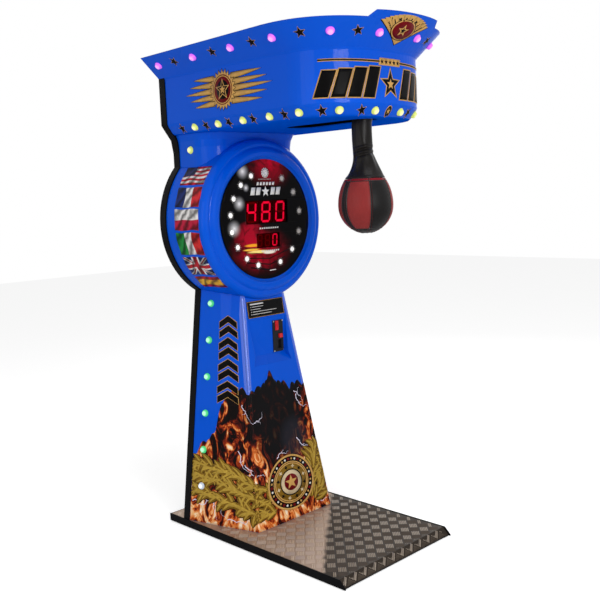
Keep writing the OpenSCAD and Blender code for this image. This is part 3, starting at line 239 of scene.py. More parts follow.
def press(name, parts, finishes, body="machine", film=0.0, smooth=True, mapped=False):
    """One piece out of grids of points. Each part is (grid, finish number) or (grid, finish
    number, map), rows by columns; neighbours make a quad, read along the row and then up, so
    it faces along row direction x column direction. Quads with an undefined point are left
    out, doubles are merged, and film gives the sheet a thickness inwards."""
    verts, quads, kinds, maps, base = [], [], [], [], 0
    for part in parts:
        grid, k = part[0], part[1]
        m, n = grid.shape[:2]
        i = np.arange(m * n).reshape(m, n) + base
        q = np.stack([i[:-1, :-1], i[:-1, 1:], i[1:, 1:], i[1:, :-1]], -1).reshape(-1, 4)
        verts.append(grid.reshape(-1, 3))
        quads.append(q)
        kinds.append(np.full(len(q), k))
        if mapped:
            maps.append(part[2].reshape(-1, 2))
        base += m * n
    verts, quads, kinds = np.concatenate(verts), np.concatenate(quads), np.concatenate(kinds)
    whole = np.isfinite(verts).all(1)[quads].all(1)
    used, quads = np.unique(quads[whole], return_inverse=True)
    verts, quads, kinds = verts[used], quads.reshape(-1, 4), kinds[whole]
    mesh = bpy.data.meshes.new(name)
    mesh.vertices.add(len(verts))
    mesh.vertices.foreach_set("co", verts.astype(np.float32).ravel())
    mesh.loops.add(quads.size)
    mesh.loops.foreach_set("vertex_index", quads.astype(np.int32).ravel())
    mesh.polygons.add(len(quads))
    mesh.polygons.foreach_set("loop_start", np.arange(0, quads.size, 4, dtype=np.int32))
    mesh.polygons.foreach_set("material_index", kinds.astype(np.int32))
    mesh.polygons.foreach_set("use_smooth", np.full(len(quads), smooth))
    if mapped:
        uv = mesh.uv_layers.new(name="print")
        uv.data.foreach_set("uv", np.concatenate(maps)[used][quads.ravel()].astype(np.float32).ravel())
    mesh.update(calc_edges=True)
    work = bmesh.new()
    work.from_mesh(mesh)
    bmesh.ops.remove_doubles(work, verts=work.verts, dist=1e-6)
    bmesh.ops.dissolve_degenerate(work, edges=work.edges, dist=1e-7)
    work.to_mesh(mesh)
    work.free()
    for f in finishes:
        mesh.materials.append(f)
    piece = bpy.data.objects.new(name, mesh)
    bpy.context.scene.collection.objects.link(piece)
    if film:
        wall = piece.modifiers.new("film", "SOLIDIFY")
        wall.thickness = film
        wall.offset = -1
    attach(piece, body)
    return piece


# The raised bars stand five to a block in a chequer that is turned by 45 degrees. Each bar is
# a long low ridge with pointed ends, and the pattern runs over the fold of the toe. No bar
# stands past the plate's edges, where the column's foot is, or where the casing is.
block_pitch, bar_pitch, chequer_y = 0.0425, 0.0069, 0.061
bar_long, bar_wide, bar_high = 0.0208, 0.0026, 0.0012
fold_y, top_z, slope = -0.471, 0.037, math.atan2(0.027, 0.029)
plate_half, plate_rear, toe_lap = 0.344, 0.628, 0.038
foot_front, casing_front, casing_rear = 0.109, 0.489, 0.541
bar_outline = np.array([[-1, 0, 0], [-0.88, -1, 0], [0.88, -1, 0], [1, 0, 0], [0.88, 1, 0], [-0.88, 1, 0],
                        [-0.92, 0, 1], [0.92, 0, 1]]) * [bar_long, bar_wide, bar_high]
bar_faces = np.array([[1, 2, 7, 6], [4, 5, 6, 7], [0, 1, 6, 6], [2, 3, 7, 7], [3, 4, 7, 7], [5, 0, 6, 6]])
i, j, k = (g.ravel() for g in np.meshgrid(np.arange(-24, 25), np.arange(-24, 25), np.arange(-2, 3), indexing="ij"))
turned = (i + j) % 2
u = (i + 0.5) * block_pitch + np.where(turned, 0, k * bar_pitch)
v = (j + 0.5) * block_pitch + np.where(turned, k * bar_pitch, 0)
x, y = (u - v) / math.sqrt(2), (u + v) / math.sqrt(2) + chequer_y
angle = np.where(turned, math.pi / 4, 3 * math.pi / 4)[:, None]
px = x[:, None] + bar_outline[:, 0] * np.cos(angle) - bar_outline[:, 1] * np.sin(angle)
py = y[:, None] + bar_outline[:, 0] * np.sin(angle) + bar_outline[:, 1] * np.cos(angle)
pz = np.broadcast_to(bar_outline[:, 2], px.shape)
before_rear = py.min(1) < casing_rear
foot_half = 0.237 + (py.max(1) - 0.118) * 0.285
clear = (np.abs(px) < plate_half).all(1) & (py > fold_y - toe_lap).any(1) & (py < plate_rear).all(1)
clear &= ~((py.max(1) > foot_front) & (np.abs(px).min(1) < foot_half) & before_rear)
clear &= ~((py > casing_front).any(1) & before_rear)
px, py, pz, turned = px[clear], np.maximum(py[clear], fold_y - toe_lap), pz[clear], turned[clear]
past = np.maximum(0, fold_y - py)
bars = np.stack([px, np.maximum(py, fold_y) - past * math.cos(slope) - np.where(past > 0, pz, 0) * math.sin(slope),
                 top_z - past * math.sin(slope) + np.where(past > 0, pz * math.cos(slope), pz)], -1)
index = (np.arange(len(bars)) * len(bar_outline))[:, None, None] + bar_faces
mesh = bpy.data.meshes.new("tread_bars")
mesh.from_pydata(bars.reshape(-1, 3), [], [tuple(dict.fromkeys(f)) for f in index.reshape(-1, 4).tolist()])
# Bars turned one way take the painted shaded copy of the metal, the others the painted lit copy.
mesh.materials.append(bar_metal_painted_shade)
mesh.materials.append(bar_metal_painted_lit)
mesh.polygons.foreach_set("material_index", np.repeat(turned, len(bar_faces)).astype(np.int32))
piece = bpy.data.objects.new("tread_bars", mesh)
bpy.context.scene.collection.objects.link(piece)
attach(piece, "machine")

# MAST AND HEAD FRAME
# Two box uprights on bolted foot plates carry two rails and two beams, all welded from square
# tube and painted satin black. The bolts and the shelf hardware are zinc plated.
tube_paint = finish("tube_paint", shade(38, 40, 44), 0.45, vary=0.2, grain=350, depth=0.0003, round_off=0.0012,
                    scuff=shade(70, 70, 72))
zinc = finish("zinc", shade(168, 170, 174), 0.32, metal=1.0, vary=0.18, patch=40, grain=900, depth=0.0001,
              round_off=0.0005, scuff=shade(140, 138, 120))
dress(tube_paint, "mast_uprights", "mast_foot_plates", "mast_ties", "head_rails", "head_beams", "cash_shelf")
dress(zinc, "anchor_bolts", "block_bolts", "hinge_pins")

# REAR CASING
# One black glass-fibre moulding follows the whole silhouette behind the blue shells. Pan
# head screws along its edge hold it to the shells' flanges.
casing_black = finish("casing_black", shade(10, 10, 11), 0.5, gloss=0.05, vary=0.2, patch=9, grain=620,
                      depth=0.0005, bite=0.5, round_off=0.003, scuff=shade(20, 20, 21))
dress(casing_black, "rear_casing")


def turned_part(profile, centre, axis, steps=20):
    """A profile of (radius, height) pairs turned round an axis that starts at centre."""
    a = np.linspace(0, 2 * math.pi, steps + 1)
    axis = np.array(axis, float) / np.linalg.norm(axis)
    side = np.cross(axis, [0.0, 0.0, 1.0] if abs(axis[2]) < 0.9 else [1.0, 0.0, 0.0])
    side /= np.linalg.norm(side)
    other = np.cross(axis, side)
    p = np.array(profile)
    ring = np.cos(a)[:, None] * side + np.sin(a)[:, None] * other
    return np.array(centre) + p[:, 0, None, None] * ring[None] + p[:, 1, None, None] * axis


column_rise, column_back, column_waist, drum_z = 1.058, 0.340, 0.200, 1.436


def casing_half(z):
    """Half width of the casing at a height: the column's taper, the drum's circle, the neck and the head."""
    column = column_back + (column_waist - column_back) * (z - top_z) / column_rise
    drum = np.sqrt(np.maximum(0, 0.372 ** 2 - (z - drum_z) ** 2))
    neck = np.where(z > 1.79, 0.300, 0.277)
    wide = np.where(z < 1.3, np.maximum(column, drum), np.maximum(drum, np.where(z > 1.5, neck, 0)))
    return np.where(z > 1.86, 0.335, wide)


screw_y, screw_edge = 0.534, 0.016
pan = [(0, 0.0028), (0.003, 0.0027), (0.0052, 0.002), (0.006, 0.0008), (0.006, -0.0005), (0, -0.0005)]
heights = np.concatenate([np.arange(0.12, 1.05, 0.17), np.arange(1.14, 1.72, 0.115), [1.77, 1.93, 2.04]])
spots = [(s * (float(casing_half(z)) - screw_edge), screw_y, z) for z in heights for s in (-1, 1)]
spots += [(x, screw_y, 2.066) for x in (-0.2, 0.0, 0.2)]
piece = press("casing_screws", [(turned_part(pan, c, (0, 1, 0))[::-1], 0) for c in spots], [zinc])

# BLUE SHELLS
# Column, drum, neck, head and crown are glass-fibre mouldings in royal blue gel coat, a gloss
# with a faint orange peel. Their edges are rounded by the mould, and they bolt to the casing.
def gel_coat(name, round_off=0.0045):
    """Blue gel coat: a hard gloss over it shows the lights as thin lines on beads and rims."""
    return finish(name, shade(0, 83, 210), 0.3, gloss=0.035, vary=0.05, patch=2.2, grain=55, depth=0.0006, bite=0.05,
                  coat=0.13, round_off=round_off)


nose_half, nose_start, nose_deep, nose_power = 0.335, 0.257, 0.260, 2.4


def dark_inside(m):
    """The head's inside is painted near-black, and its underside is left matt: both are found by
    height and by the plan, a superellipse in front and straight sides behind it."""
    t, body, had, _, (x, y, z) = opened(m)
    lip_z, wall_z = 1.8335, 1.8745
    wall_off = calc(t, "MULTIPLY_ADD", calc(t, "GREATER_THAN", z, wall_z), 0.0385, -0.041)
    side = calc(t, "DIVIDE", calc(t, "ABSOLUTE", x), calc(t, "ADD", wall_off, nose_half))
    fore = calc(t, "DIVIDE", calc(t, "MAXIMUM", calc(t, "SUBTRACT", -nose_start, y), 0.0),
                calc(t, "ADD", wall_off, nose_deep))
    within = calc(t, "ADD", calc(t, "POWER", side, nose_power), calc(t, "POWER", fore, nose_power))
    inside = calc(t, "MULTIPLY", calc(t, "LESS_THAN", within, 1.0), calc(t, "GREATER_THAN", z, lip_z))
    t.links.new(blend(t, inside, had, shade(8, 8, 9)), body.inputs["Base Color"])
    glossy = calc(t, "SUBTRACT", 1.0, calc(t, "MAXIMUM", inside, calc(t, "LESS_THAN", z, lip_z)))
    for socket, most in (("Specular IOR Level", 0.035), ("Coat Weight", 0.13)):
        t.links.new(calc(t, "MULTIPLY", glossy, most), body.inputs[socket])
    return m


def polished(m):
    """The beads at the column's front corners are polished: both glosses rise there, in a band
    10.5 mm to each side of the bead's slanting line."""
    bead_lean, bead_x, band_half, band_rear = 0.0992, 0.2337, 0.0105, 0.29
    t, body, _, _, (x, y, z) = opened(m)
    off = calc(t, "ADD", calc(t, "ABSOLUTE", x), calc(t, "MULTIPLY_ADD", z, bead_lean, -bead_x))
    bead = calc(t, "MULTIPLY", calc(t, "LESS_THAN", calc(t, "ABSOLUTE", off), band_half),
                calc(t, "LESS_THAN", y, band_rear))
    for socket, more, least in (("Coat Weight", 0.85, 0.13), ("Specular IOR Level", 0.7, 0.035)):
        t.links.new(calc(t, "MULTIPLY_ADD", bead, more, least), body.inputs[socket])
    return m


gel_blue = gel_coat("gel_blue")
lid_black = finish("lid_black", shade(24, 25, 28), 0.5, gloss=0.2, vary=0.15, grain=500, depth=0.0003)
dress(gel_blue, "drum_shell", "neck_shell", "crown")
dress(polished(gel_coat("gel_blue_beaded")), "column_shell")
dress(dark_inside(gel_coat("gel_blue_dark_inside")), "head_shell")
dress(lid_black, "head_lid")

# The column's section is a path from the rear left corner round the front beads to the rear
# right corner. Every point of it is linear in height, so two sections give the whole skin.
shell_y, column_deep, column_lean, bead_r = 0.493, 0.375, 0.160, 0.007


def column_section(z):
    """Points of the section at height z: sides with a slight bulge, and a round bead at each front corner."""
    t = (z - top_z) / column_rise
    back, front, y = column_back - 0.140 * t, 0.234 - 0.105 * t, shell_y - (column_deep - column_lean * t)
    a = np.radians(np.linspace(-40, 134, 14))
    left = [(-back, shell_y), (-((back + front) / 2 + 0.005), (shell_y + y) / 2), (-(front + 0.003), y + 0.014)]
    bead = [(-(front - 0.004) - bead_r * math.cos(q), y + bead_r - bead_r * math.sin(q)) for q in a]
    half = left + bead + [(-(front - 0.012), y)]
    return np.array(half + [(-p, q) for p, q in half[::-1]])


low, high = column_section(top_z), column_section(1.095)
rise = (high - low) / column_rise
reach = column_section(0.5)
column_s = np.concatenate([[0], np.cumsum(np.linalg.norm(np.diff(reach, axis=0), axis=1))])
column_s -= column_s[-1] / 2
diagonal_rise = 1.399


def on_column(a, z):
    """Point of the column's skin: a is the way round from the front's middle, z the height. The
    twisted panels of the sides are folded along the diagonal of their mould, from the rear or
    front edge at the foot to the next edge diagonal_rise above it, so a tent of that height is
    added."""
    a, z = np.broadcast_arrays(np.asarray(a, float), np.asarray(z, float))
    up = (z - top_z)[..., None]
    p = np.stack([np.interp(a, column_s, low[:, c]) + np.interp(a, column_s, rise[:, c]) * up[..., 0]
                  for c in (0, 1)], -1)
    for i in (0, 1, len(low) - 3, len(low) - 2):
        edge, other = low[i] + rise[i] * up, low[i + 1] + rise[i + 1] * up
        fold = low[i] + up / diagonal_rise * (low[i + 1] + rise[i + 1] * diagonal_rise - low[i]) - edge
        d = other - edge
        span = np.linalg.norm(d, axis=-1)
        d = d / span[..., None]
        n = np.stack([d[..., 1], -d[..., 0]], -1)
        at = np.clip((fold * d).sum(-1) / span, 1e-4, 1 - 1e-4)
        u = (a - column_s[i]) / (column_s[i + 1] - column_s[i])
        tent = np.clip(np.minimum(u / at, (1 - u) / (1 - at)), 0, None) * (fold * n).sum(-1)
        p = p + tent[..., None] * n
    return np.concatenate([p, z[..., None]], -1)


def column_way(y, z, side):
    """The way round at which the column's left (-1) or right (1) side passes depth y at height z."""
    a = np.linspace(0.30, column_s[-1], 400)
    return side * float(np.interp(y, on_column(a, z)[:, 1], a))


# PRINTS
# The decoration is cut vinyl film, laid on the finished shells in layers: gold first, black on
# top of it, a clear gloss over both.
gold_film = finish("gold_film", shade(200, 154, 84), 0.34, gloss=0.12, vary=0.3, patch=30, grain=240, depth=0.0001)
black_film = finish("black_film", shade(8, 7, 7), 0.34, gloss=0.04, vary=0.3, patch=12, grain=260, depth=0.0001)
red_film = finish("red_film", shade(104, 8, 16), 0.32, gloss=0.06, vary=0.6, patch=22, grain=260, depth=0.0001)
white_film = finish("white_film", shade(226, 224, 220), 0.36, gloss=0.4, vary=0.06, patch=12, grain=260, depth=0.0001)


def lay(surface, a, b, height):
    """Points at a height over a surface of two coordinates, along its normal by central
    differences. Past the surface's end there is no normal, and the points are undefined."""
    h = 0.0005
    n = np.cross(surface(a + h, b) - surface(a - h, b), surface(a, b + h) - surface(a, b - h))
    with np.errstate(invalid="ignore"):
        return surface(a, b) + height * n / np.linalg.norm(n, axis=-1, keepdims=True)


def stick(parts, surface, shape, up, kind, at=(0, 0), scale=(1, 1)):
    """Adds a flat shape to the parts: scaled, moved to a place of a surface, and laid up above it."""
    parts.append((lay(surface, at[0] + shape[0] * scale[0], at[1] + shape[1] * scale[1], up), kind))


def fan(outline, rows=4):
    """Grid of a closed outline filled towards its middle: rows run from the middle to the edge."""
    o = np.concatenate([outline, outline[:1]])
    v = np.linspace(0, 1, rows)[::-1, None, None]
    g = v * o[None]
    return g[..., 0], g[..., 1]


def star(size, turn=0.0, points=5, waist=0.42, per=6):
    """Outline of a star: straight edges between tips at size and notches at waist of it."""
    k = np.arange(points * 2)
    r = np.where(k % 2, waist * size, size)
    q = turn + math.pi / 2 + k * math.pi / points
    p = np.stack([r * np.cos(q), r * np.sin(q)], -1)
    w = np.arange(per)[None, :, None] / per
    return (p[:, None] * (1 - w) + np.roll(p, -1, 0)[:, None] * w).reshape(-1, 2)


def stars(surface, places, size, turns):
    """Black stars with a gold edge at places of a surface."""
    parts = []
    for n, at in enumerate(places):
        for k, (s, up) in enumerate(((size, 0.0006), (size * 0.88, 0.0010))):
            stick(parts, surface, fan(star(s, turns[n % len(turns)])), up, k, at)
    return parts


def slab(corners, m=10, n=10):
    """Bilinear grid between four corners in order round the shape."""
    c = np.array(corners, float)
    u, v = np.meshgrid(np.linspace(0, 1, n), np.linspace(0, 1, m))
    g = (c[0] * ((1 - u) * (1 - v))[..., None] + c[1] * (u * (1 - v))[..., None]
         + c[2] * (u * v)[..., None] + c[3] * ((1 - u) * v)[..., None])
    return g[..., 0], g[..., 1]


# Up each side of the column stand four double chevrons.
parts = []
for side in (-1, 1):
    for y0, z0 in ((0.335, 0.960), (0.333, 0.861), (0.327, 0.762), (0.323, 0.662)):
        a0 = column_way(y0, z0, side)
        for dz in (0.012, -0.032):
            for k, (grow, up) in enumerate(((0.0026, 0.0006), (0.0, 0.0010))):
                for half in (-1, 1):
                    wide, tall, foot = half * (0.060 + grow * 0.9), 0.029 + 2 * grow, dz - grow
                    q = [(0, foot), (wide, foot - 0.030), (wide, foot - 0.030 + tall), (0, foot + tall)]
                    if half < 0:
                        q = [q[1], q[0], q[3], q[2]]
                    stick(parts, on_column, slab(q, 5, 8), up, k, (a0, z0))
piece = press("side_chevrons", parts, [gold_film, black_film], film=0.0003)

# Flames climb round the foot of the column, on one wide film that wraps the beads.
mark = [(-0.62, 0.295), (-0.56, 0.31), (-0.50, 0.35), (-0.42, 0.44), (-0.385, 0.47), (-0.35, 0.60), (-0.31, 0.66),
        (-0.24, 0.665), (-0.13, 0.66), (-0.09, 0.69), (-0.04, 0.72), (0.01, 0.68), (0.06, 0.655), (0.16, 0.645),
        (0.24, 0.655), (0.31, 0.65), (0.35, 0.60), (0.385, 0.47), (0.42, 0.44), (0.50, 0.35), (0.56, 0.31),
        (0.62, 0.295)]
a = np.linspace(column_s[0] + 0.001, column_s[-1] - 0.001, 1201)
crest = np.interp(a, *zip(*mark))
lick = np.abs(np.sin(a * 31 + 0.6 * np.sin(a * 13))) ** 0.7 * 0.030 + np.abs(np.sin(a * 67 + 1.1)) ** 1.2 * 0.018
top = crest - 0.030 + lick
z = 0.0375 + np.linspace(0, 1, 40)[:, None] * (top[None] - 0.0375)


def ramp(tree, share, stops, hard=False):
    """The colour that a share picks from (position, colour) stops, with soft or hard changes."""
    node = add(tree, "ValToRGB", {0: share})
    if hard:
        node.color_ramp.interpolation = "CONSTANT"
    for n, (at, colour) in enumerate(stops):
        e = node.color_ramp.elements[n] if n < 2 else node.color_ramp.elements.new(at)
        e.position = at
        e.color = colour
    return node.outputs[0]


def spot(tree, place, middle, reach, kind="SPHERICAL"):
    """A soft round value: 1 in its middle, 0 from its reach along each axis outwards."""
    at = add(tree, "Mapping", {0: place, "Location": middle, "Scale": reach}, vector_type="TEXTURE")
    return add(tree, "TexGradient", {0: at}, gradient_type=kind).outputs[1]


def flame_print(name):
    """Printed fire: noise that is stretched upwards and twisted picks from black over dark red
    and orange to pale yellow, brighter near the foot. Two soft dark patches calm its middle."""
    m = bpy.data.materials.new(name)
    t = empty(m)
    place = add(t, "TexCoord").outputs["Object"]
    fire = noise(t, add(t, "Mapping", {0: place, "Scale": (1.0, 1.0, 0.58)}), 18, 5, 0.55, 1.7)
    heat = remap(t, add(t, "SeparateXYZ", {0: place}).outputs["Z"], 0.05, 0.72, 0.12, -0.06)
    stops = [(0.0, (9, 8, 9)), (0.47, (16, 9, 9)), (0.52, (74, 18, 12)), (0.57, (150, 50, 20)),
             (0.62, (222, 118, 50)), (0.68, (242, 184, 120)), (0.77, (250, 236, 214))]
    colour = ramp(t, calc(t, "ADD", fire, heat), [(at, shade(*rgb)) for at, rgb in stops])
    for middle, reach, rgb, most in (((-0.03, 0.18, 0.53), (0.20, 0.30, 0.27), (15, 14, 16), 0.97),
                                     ((0.06, 0.18, 0.40), (0.10, 0.30, 0.12), (34, 34, 42), 0.8)):
        share = remap(t, spot(t, place, middle, reach), 0.0, 0.45, 0.0, most)
        colour = blend(t, share, colour, shade(*rgb))
    show(t, {"Base Color": colour, "Roughness": 0.3, "Specular IOR Level": 0.06})
    return m


piece = press("flame_film", [(lay(on_column, np.broadcast_to(a, z.shape), z, 0.0005), 0)],
              [flame_print("flame_print")], film=0.0002)

# Thin pale bolts of lightning are printed over the flames. Each runs between two points, bent
# at every half of every half, and throws off a short branch.
dice = np.random.default_rng(7)


def bolt(a0, z0, a1, z1, wide):
    """Grid of a jagged line that tapers to its end, laid on the column, and the line's knee."""
    line = np.array([[a0, z0], [a1, z1]])
    for k in range(4):
        mid = (line[:-1] + line[1:]) / 2
        across_it = (line[1:] - line[:-1])[:, ::-1] * [-1, 1]
        mid = mid + across_it * dice.uniform(-0.26, 0.26, (len(mid), 1))
        line = np.insert(line, np.arange(1, len(line)), mid, 0)
    d = np.gradient(line, axis=0)
    side_of = d[:, ::-1] * [-1, 1] / np.linalg.norm(d, axis=1, keepdims=True)
    w = wide * np.linspace(1, 0.12, len(line))[:, None] * side_of
    ends = np.stack([line - w, line + w])
    return lay(on_column, ends[..., 0], ends[..., 1], 0.0008), line[6]


# The lightning print glows faintly: a painted glow, as no lamp lights it.
bolt_pale_painted_glow = finish("bolt_pale_painted_glow", shade(226, 220, 238), 0.4, gloss=0.06, vary=0.06, patch=30, grain=200, glow=0.08)
bolt_wide, branch_wide = 0.0021, 0.0012
parts = []
for a0, z0, a1, z1 in ((0.105, 0.615, 0.155, 0.560), (0.120, 0.600, 0.190, 0.520), (-0.235, 0.600, -0.190, 0.520),
                       (-0.190, 0.520, -0.120, 0.560), (0.070, 0.400, 0.170, 0.330), (0.170, 0.330, 0.200, 0.430),
                       (-0.270, 0.390, -0.190, 0.300), (-0.240, 0.330, -0.120, 0.280), (-0.060, 0.330, 0.010, 0.350),
                       (-0.500, 0.130, -0.330, 0.070), (-0.330, 0.070, -0.180, 0.100), (-0.420, 0.180, -0.380, 0.060),
                       (0.110, 0.120, 0.210, 0.060), (-0.540, 0.260, -0.440, 0.330), (0.200, 0.560, 0.225, 0.470)):
    for hand in (1, -1) if a0 < -0.25 else (1,):
        grid, (a, z) = bolt(hand * a0, z0, hand * a1, z1, bolt_wide)
        parts.append((grid, 0))
        way = 1 if dice.random() > 0.5 else -1
        parts.append((bolt(a, z, a + way * 0.022, z + dice.uniform(-0.03, 0.03), branch_wide)[0], 0))
piece = press("lightning_film", parts, [bolt_pale_painted_glow], film=0.0001)

# A large medal with a star stands over the flames at the front, with three branches of laurel
# on its left and two on its right.
def ring_of(r0, r1, n=72, rows=3):
    """Grid of a flat ring between two radii."""
    q = np.linspace(0, 2 * math.pi, n + 1)
    r = np.linspace(r1, r0, rows)[:, None]
    return r * np.cos(q), r * np.sin(q)


def leaf(a0, z0, way, long, wide):
    """A pointed leaf from its foot at (a0, z0), towards the bearing way, with a slight bend."""
    u, v = np.meshgrid(np.linspace(0, 1, 9), np.linspace(-1, 1, 5))
    across_it = v * wide * np.sin(np.pi * np.minimum(1, u * 0.93 + 0.04)) ** 0.8
    q = way + 0.35 * u
    return a0 + long * u * np.cos(q) - across_it * np.sin(q), z0 + long * u * np.sin(q) + across_it * np.cos(q)


leaf_gold = finish("leaf_gold", shade(126, 94, 26), 0.4, gloss=0.08, vary=0.75, patch=48, grain=180, depth=0.0004,
                   bite=0.6, stretch=(1, 1, 2.5), scuff=shade(70, 48, 14))
leaf_shade = finish("leaf_shade", shade(34, 20, 6), 0.5, gloss=0.05, vary=0.4, patch=40, grain=200)
leaf_light = finish("leaf_light", shade(176, 144, 56), 0.36, gloss=0.1, vary=0.4, patch=60, grain=200)
branches = [(np.array([[-0.10, 0.100], [-0.22, 0.118], [-0.36, 0.158], [-0.50, 0.190], [-0.560, 0.198]]), 17, -1, 1.10),
            (np.array([[-0.12, 0.150], [-0.24, 0.190], [-0.36, 0.232], [-0.48, 0.252], [-0.550, 0.245]]), 17, -1, 1.10),
            (np.array([[-0.13, 0.200], [-0.23, 0.245], [-0.34, 0.290], [-0.46, 0.306], [-0.545, 0.290]]), 16, -1, 1.15),
            (np.array([[0.10, 0.10], [0.17, 0.17], [0.21, 0.28]]), 9, 1, 1.1),
            (np.array([[0.10, 0.17], [0.14, 0.25], [0.175, 0.34]]), 8, 1, 1.0)]
leaf_rows = ((0.85, 0.086, 0.014), (-0.75, 0.080, -0.014), (0.36, 0.080, 0.005), (-0.26, 0.076, -0.004))
leaf_wide, film_foot = 0.0168, 0.042
picks = np.random.default_rng(11)
parts = []
for stem, count, hand, big in branches:
    for n, w in enumerate(np.linspace(0, len(stem) - 1.001, count)[::-1]):
        k = int(w)
        d = stem[k + 1] - stem[k]
        at = stem[k] + d * (w - k)
        fore = math.atan2(d[1], d[0])
        size = big * (0.62 + 0.38 * math.sin(math.pi * min(1.0, 0.25 + 0.62 * w / (len(stem) - 1))))
        for row, (turn_by, reach, foot) in enumerate(leaf_rows):
            sway, drift, reach_by = picks.normal(0, 0.20), picks.uniform(-0.007, 0.007), picks.uniform(0.78, 1.22)
            way = fore + turn_by * hand - 0.17 + sway
            fa, fz = at[0] - math.sin(fore) * foot + drift, max(0.05, at[1] + math.cos(fore) * foot - drift)
            for grow_by, kind, up in ((1.0, 1, 0.0010), (0.86, 0, 0.0013), (0.42, 2, 0.0016)):
                long = 0.86 * reach * reach_by * size * (0.95 if kind == 2 else 1.0)
                a, b = leaf(fa, fz, way, long, leaf_wide * size * grow_by ** 1.6)
                grid = lay(on_column, a, np.maximum(film_foot, b), up + 0.0001 * row + 0.00002 * n)
                parts.append((grid, kind))
piece = press("laurel_film", parts, [leaf_gold, leaf_shade, leaf_light], film=0.0002)


def out_from(middle, radius, bearing):
    """Place at a radius and bearing from a middle."""
    return middle[0] + radius * math.cos(bearing), middle[1] + radius * math.sin(bearing)


medal, medal_r = (-0.003, 0.208), 0.126
parts = []
for r0, r1, k, up in ((0.0, 1.0, 1, 0.0046), (0.93, 1.0, 0, 0.0050), (0.72, 0.76, 0, 0.0050), (0.0, 0.70, 5, 0.0050),
                      (0.66, 0.70, 0, 0.0054), (0.0, 0.47, 3, 0.0054), (0.44, 0.48, 1, 0.0058), (0.0, 0.30, 2, 0.0058)):
    stick(parts, on_column, ring_of(max(r0, 1e-4) * medal_r, r1 * medal_r), up, k, medal)
stick(parts, on_column, fan(star(medal_r * 0.27)), 0.0062, 0, medal)
for n in range(36):
    stud = ring_of(1e-4, medal_r * (0.058 if n % 3 == 0 else 0.040), 10, 2)
    stick(parts, on_column, stud, 0.0054, (2, 4, 0)[n % 3], out_from(medal, 0.845 * medal_r, n * math.pi / 18))
for n in range(12):
    q = n * math.pi / 6 + 0.26
    spark = fan(star(medal_r * 0.080, q, 4, 0.5, 2), 3)
    stick(parts, on_column, spark, 0.0056, 1 if n % 2 else 3, out_from(medal, 0.58 * medal_r, q))
medal_pale = finish("medal_pale", shade(206, 186, 150), 0.4, gloss=0.08, vary=0.5, patch=26, grain=200)
piece = press("medal_film", parts, [gold_film, black_film, red_film, medal_pale, white_film, leaf_gold], film=0.0003)


# RULES PLATE
# A black plastic plate on the sloping face, with a thin gold line round it, a heading and a
# row for each step of play. Heading and rows are plain bars, and each row starts with a dot.
rules_face = finish("rules_face", shade(12, 12, 13), 0.3, gloss=0.06, vary=0.25, patch=10, grain=420, depth=0.0002)
dress(rules_face, "rules_plate")
plate_z, plate_thick, rules_up = 0.985, 0.002, 0.0004
tilt = math.atan(column_lean / column_rise)


def on_rules(a, b):
    """Point of the plate's face: a across, b up the slope from its lower edge."""
    foot_y = shell_y - (column_deep - column_lean * (plate_z - top_z) / column_rise)
    y = foot_y - plate_thick * math.cos(tilt) + b * math.sin(tilt)
    return np.stack([a, y, plate_z + plate_thick * math.sin(tilt) + b * math.cos(tilt)], -1)


def bar(x0, x1, z0, z1, n=12, m=2):
    """Grid of an upright rectangle."""
    return slab([(x0, z0), (x1, z0), (x1, z1), (x0, z1)], m, n)


parts = []
for x0, x1, z0, z1, k in ((-0.112, 0.112, 0.0015, 0.0030, 0), (-0.112, 0.112, 0.075, 0.0765, 0),
                          (-0.112, -0.1105, 0.003, 0.075, 0), (0.1105, 0.112, 0.003, 0.075, 0),
                          (-0.094, -0.012, 0.061, 0.067, 1)):
    stick(parts, on_rules, bar(x0, x1, z0, z1), rules_up, k)
for n, wide in enumerate((0.070, 0.052, 0.150, 0.118)):
    z0 = 0.050 - n * 0.0115
    stick(parts, on_rules, bar(-0.084, -0.084 + wide, z0, z0 + 0.0022, 10), rules_up, 1)
    stick(parts, on_rules, ring_of(1e-4, 0.0022, 16, 2), rules_up, 1, (-0.091, z0 + 0.0011))
piece = press("rules_print", parts, [gold_film, white_film], film=0.0002)

# COIN SIDE
# A powder-coated steel plate with a moulded red entry and reject button, four bright screws
# and a return opening. Behind it sit the coin mechanism, a zinc chute and the cash box.
plate_black = finish("plate_black", shade(34, 34, 36), 0.5, gloss=0.1, vary=0.15, grain=800, depth=0.0004, bite=0.5)
# The red entry and reject button glow faintly: a painted glow, as no lamp lights them.
coin_red = finish("coin_red", shade(196, 14, 26), 0.26, gloss=0.5, vary=0.10, patch=30, grain=400, depth=0.0001,
                  round_off=0.0008, glow=0.12)
dark_plastic = finish("dark_plastic", shade(26, 26, 29), 0.5, vary=0.2, grain=500, depth=0.0003)
screw_steel = finish("screw_steel", shade(196, 198, 202), 0.24, metal=1.0, vary=0.1, patch=80, grain=900, depth=0.0001)
sheet_zinc = finish("sheet_zinc", shade(150, 154, 160), 0.38, metal=0.9, vary=0.22, patch=26, grain=300, depth=0.0002,
                    scuff=shade(178, 182, 188))
dress(plate_black, "coin_plate")
dress(coin_red, "coin_entry", "reject_button")
dress(dark_plastic, "return_cup", "coin_mech", "speaker")
dress(screw_steel, "plate_screws")
dress(sheet_zinc, "coin_chute", "cash_box", "power_supply")


def piping(path, radius, steps=8):
    """A round cord, thread or wire along a path of points, with closed ends."""
    p = np.asarray(path)
    d = np.gradient(p, axis=0)
    d /= np.linalg.norm(d, axis=1, keepdims=True)
    s = np.cross(d, [0.31, 0.17, 0.93])
    s /= np.linalg.norm(s, axis=1, keepdims=True)
    w = np.cross(d, s)
    q = np.linspace(0, 2 * math.pi, steps + 1)[None, :, None]
    ring = p[:, None] + radius * (np.cos(q) * s[:, None] + np.sin(q) * w[:, None])
    ends = [np.repeat(p[k][None, None], steps + 1, 1) for k in (0, -1)]
    return np.concatenate([ends[0], ring, ends[1]])


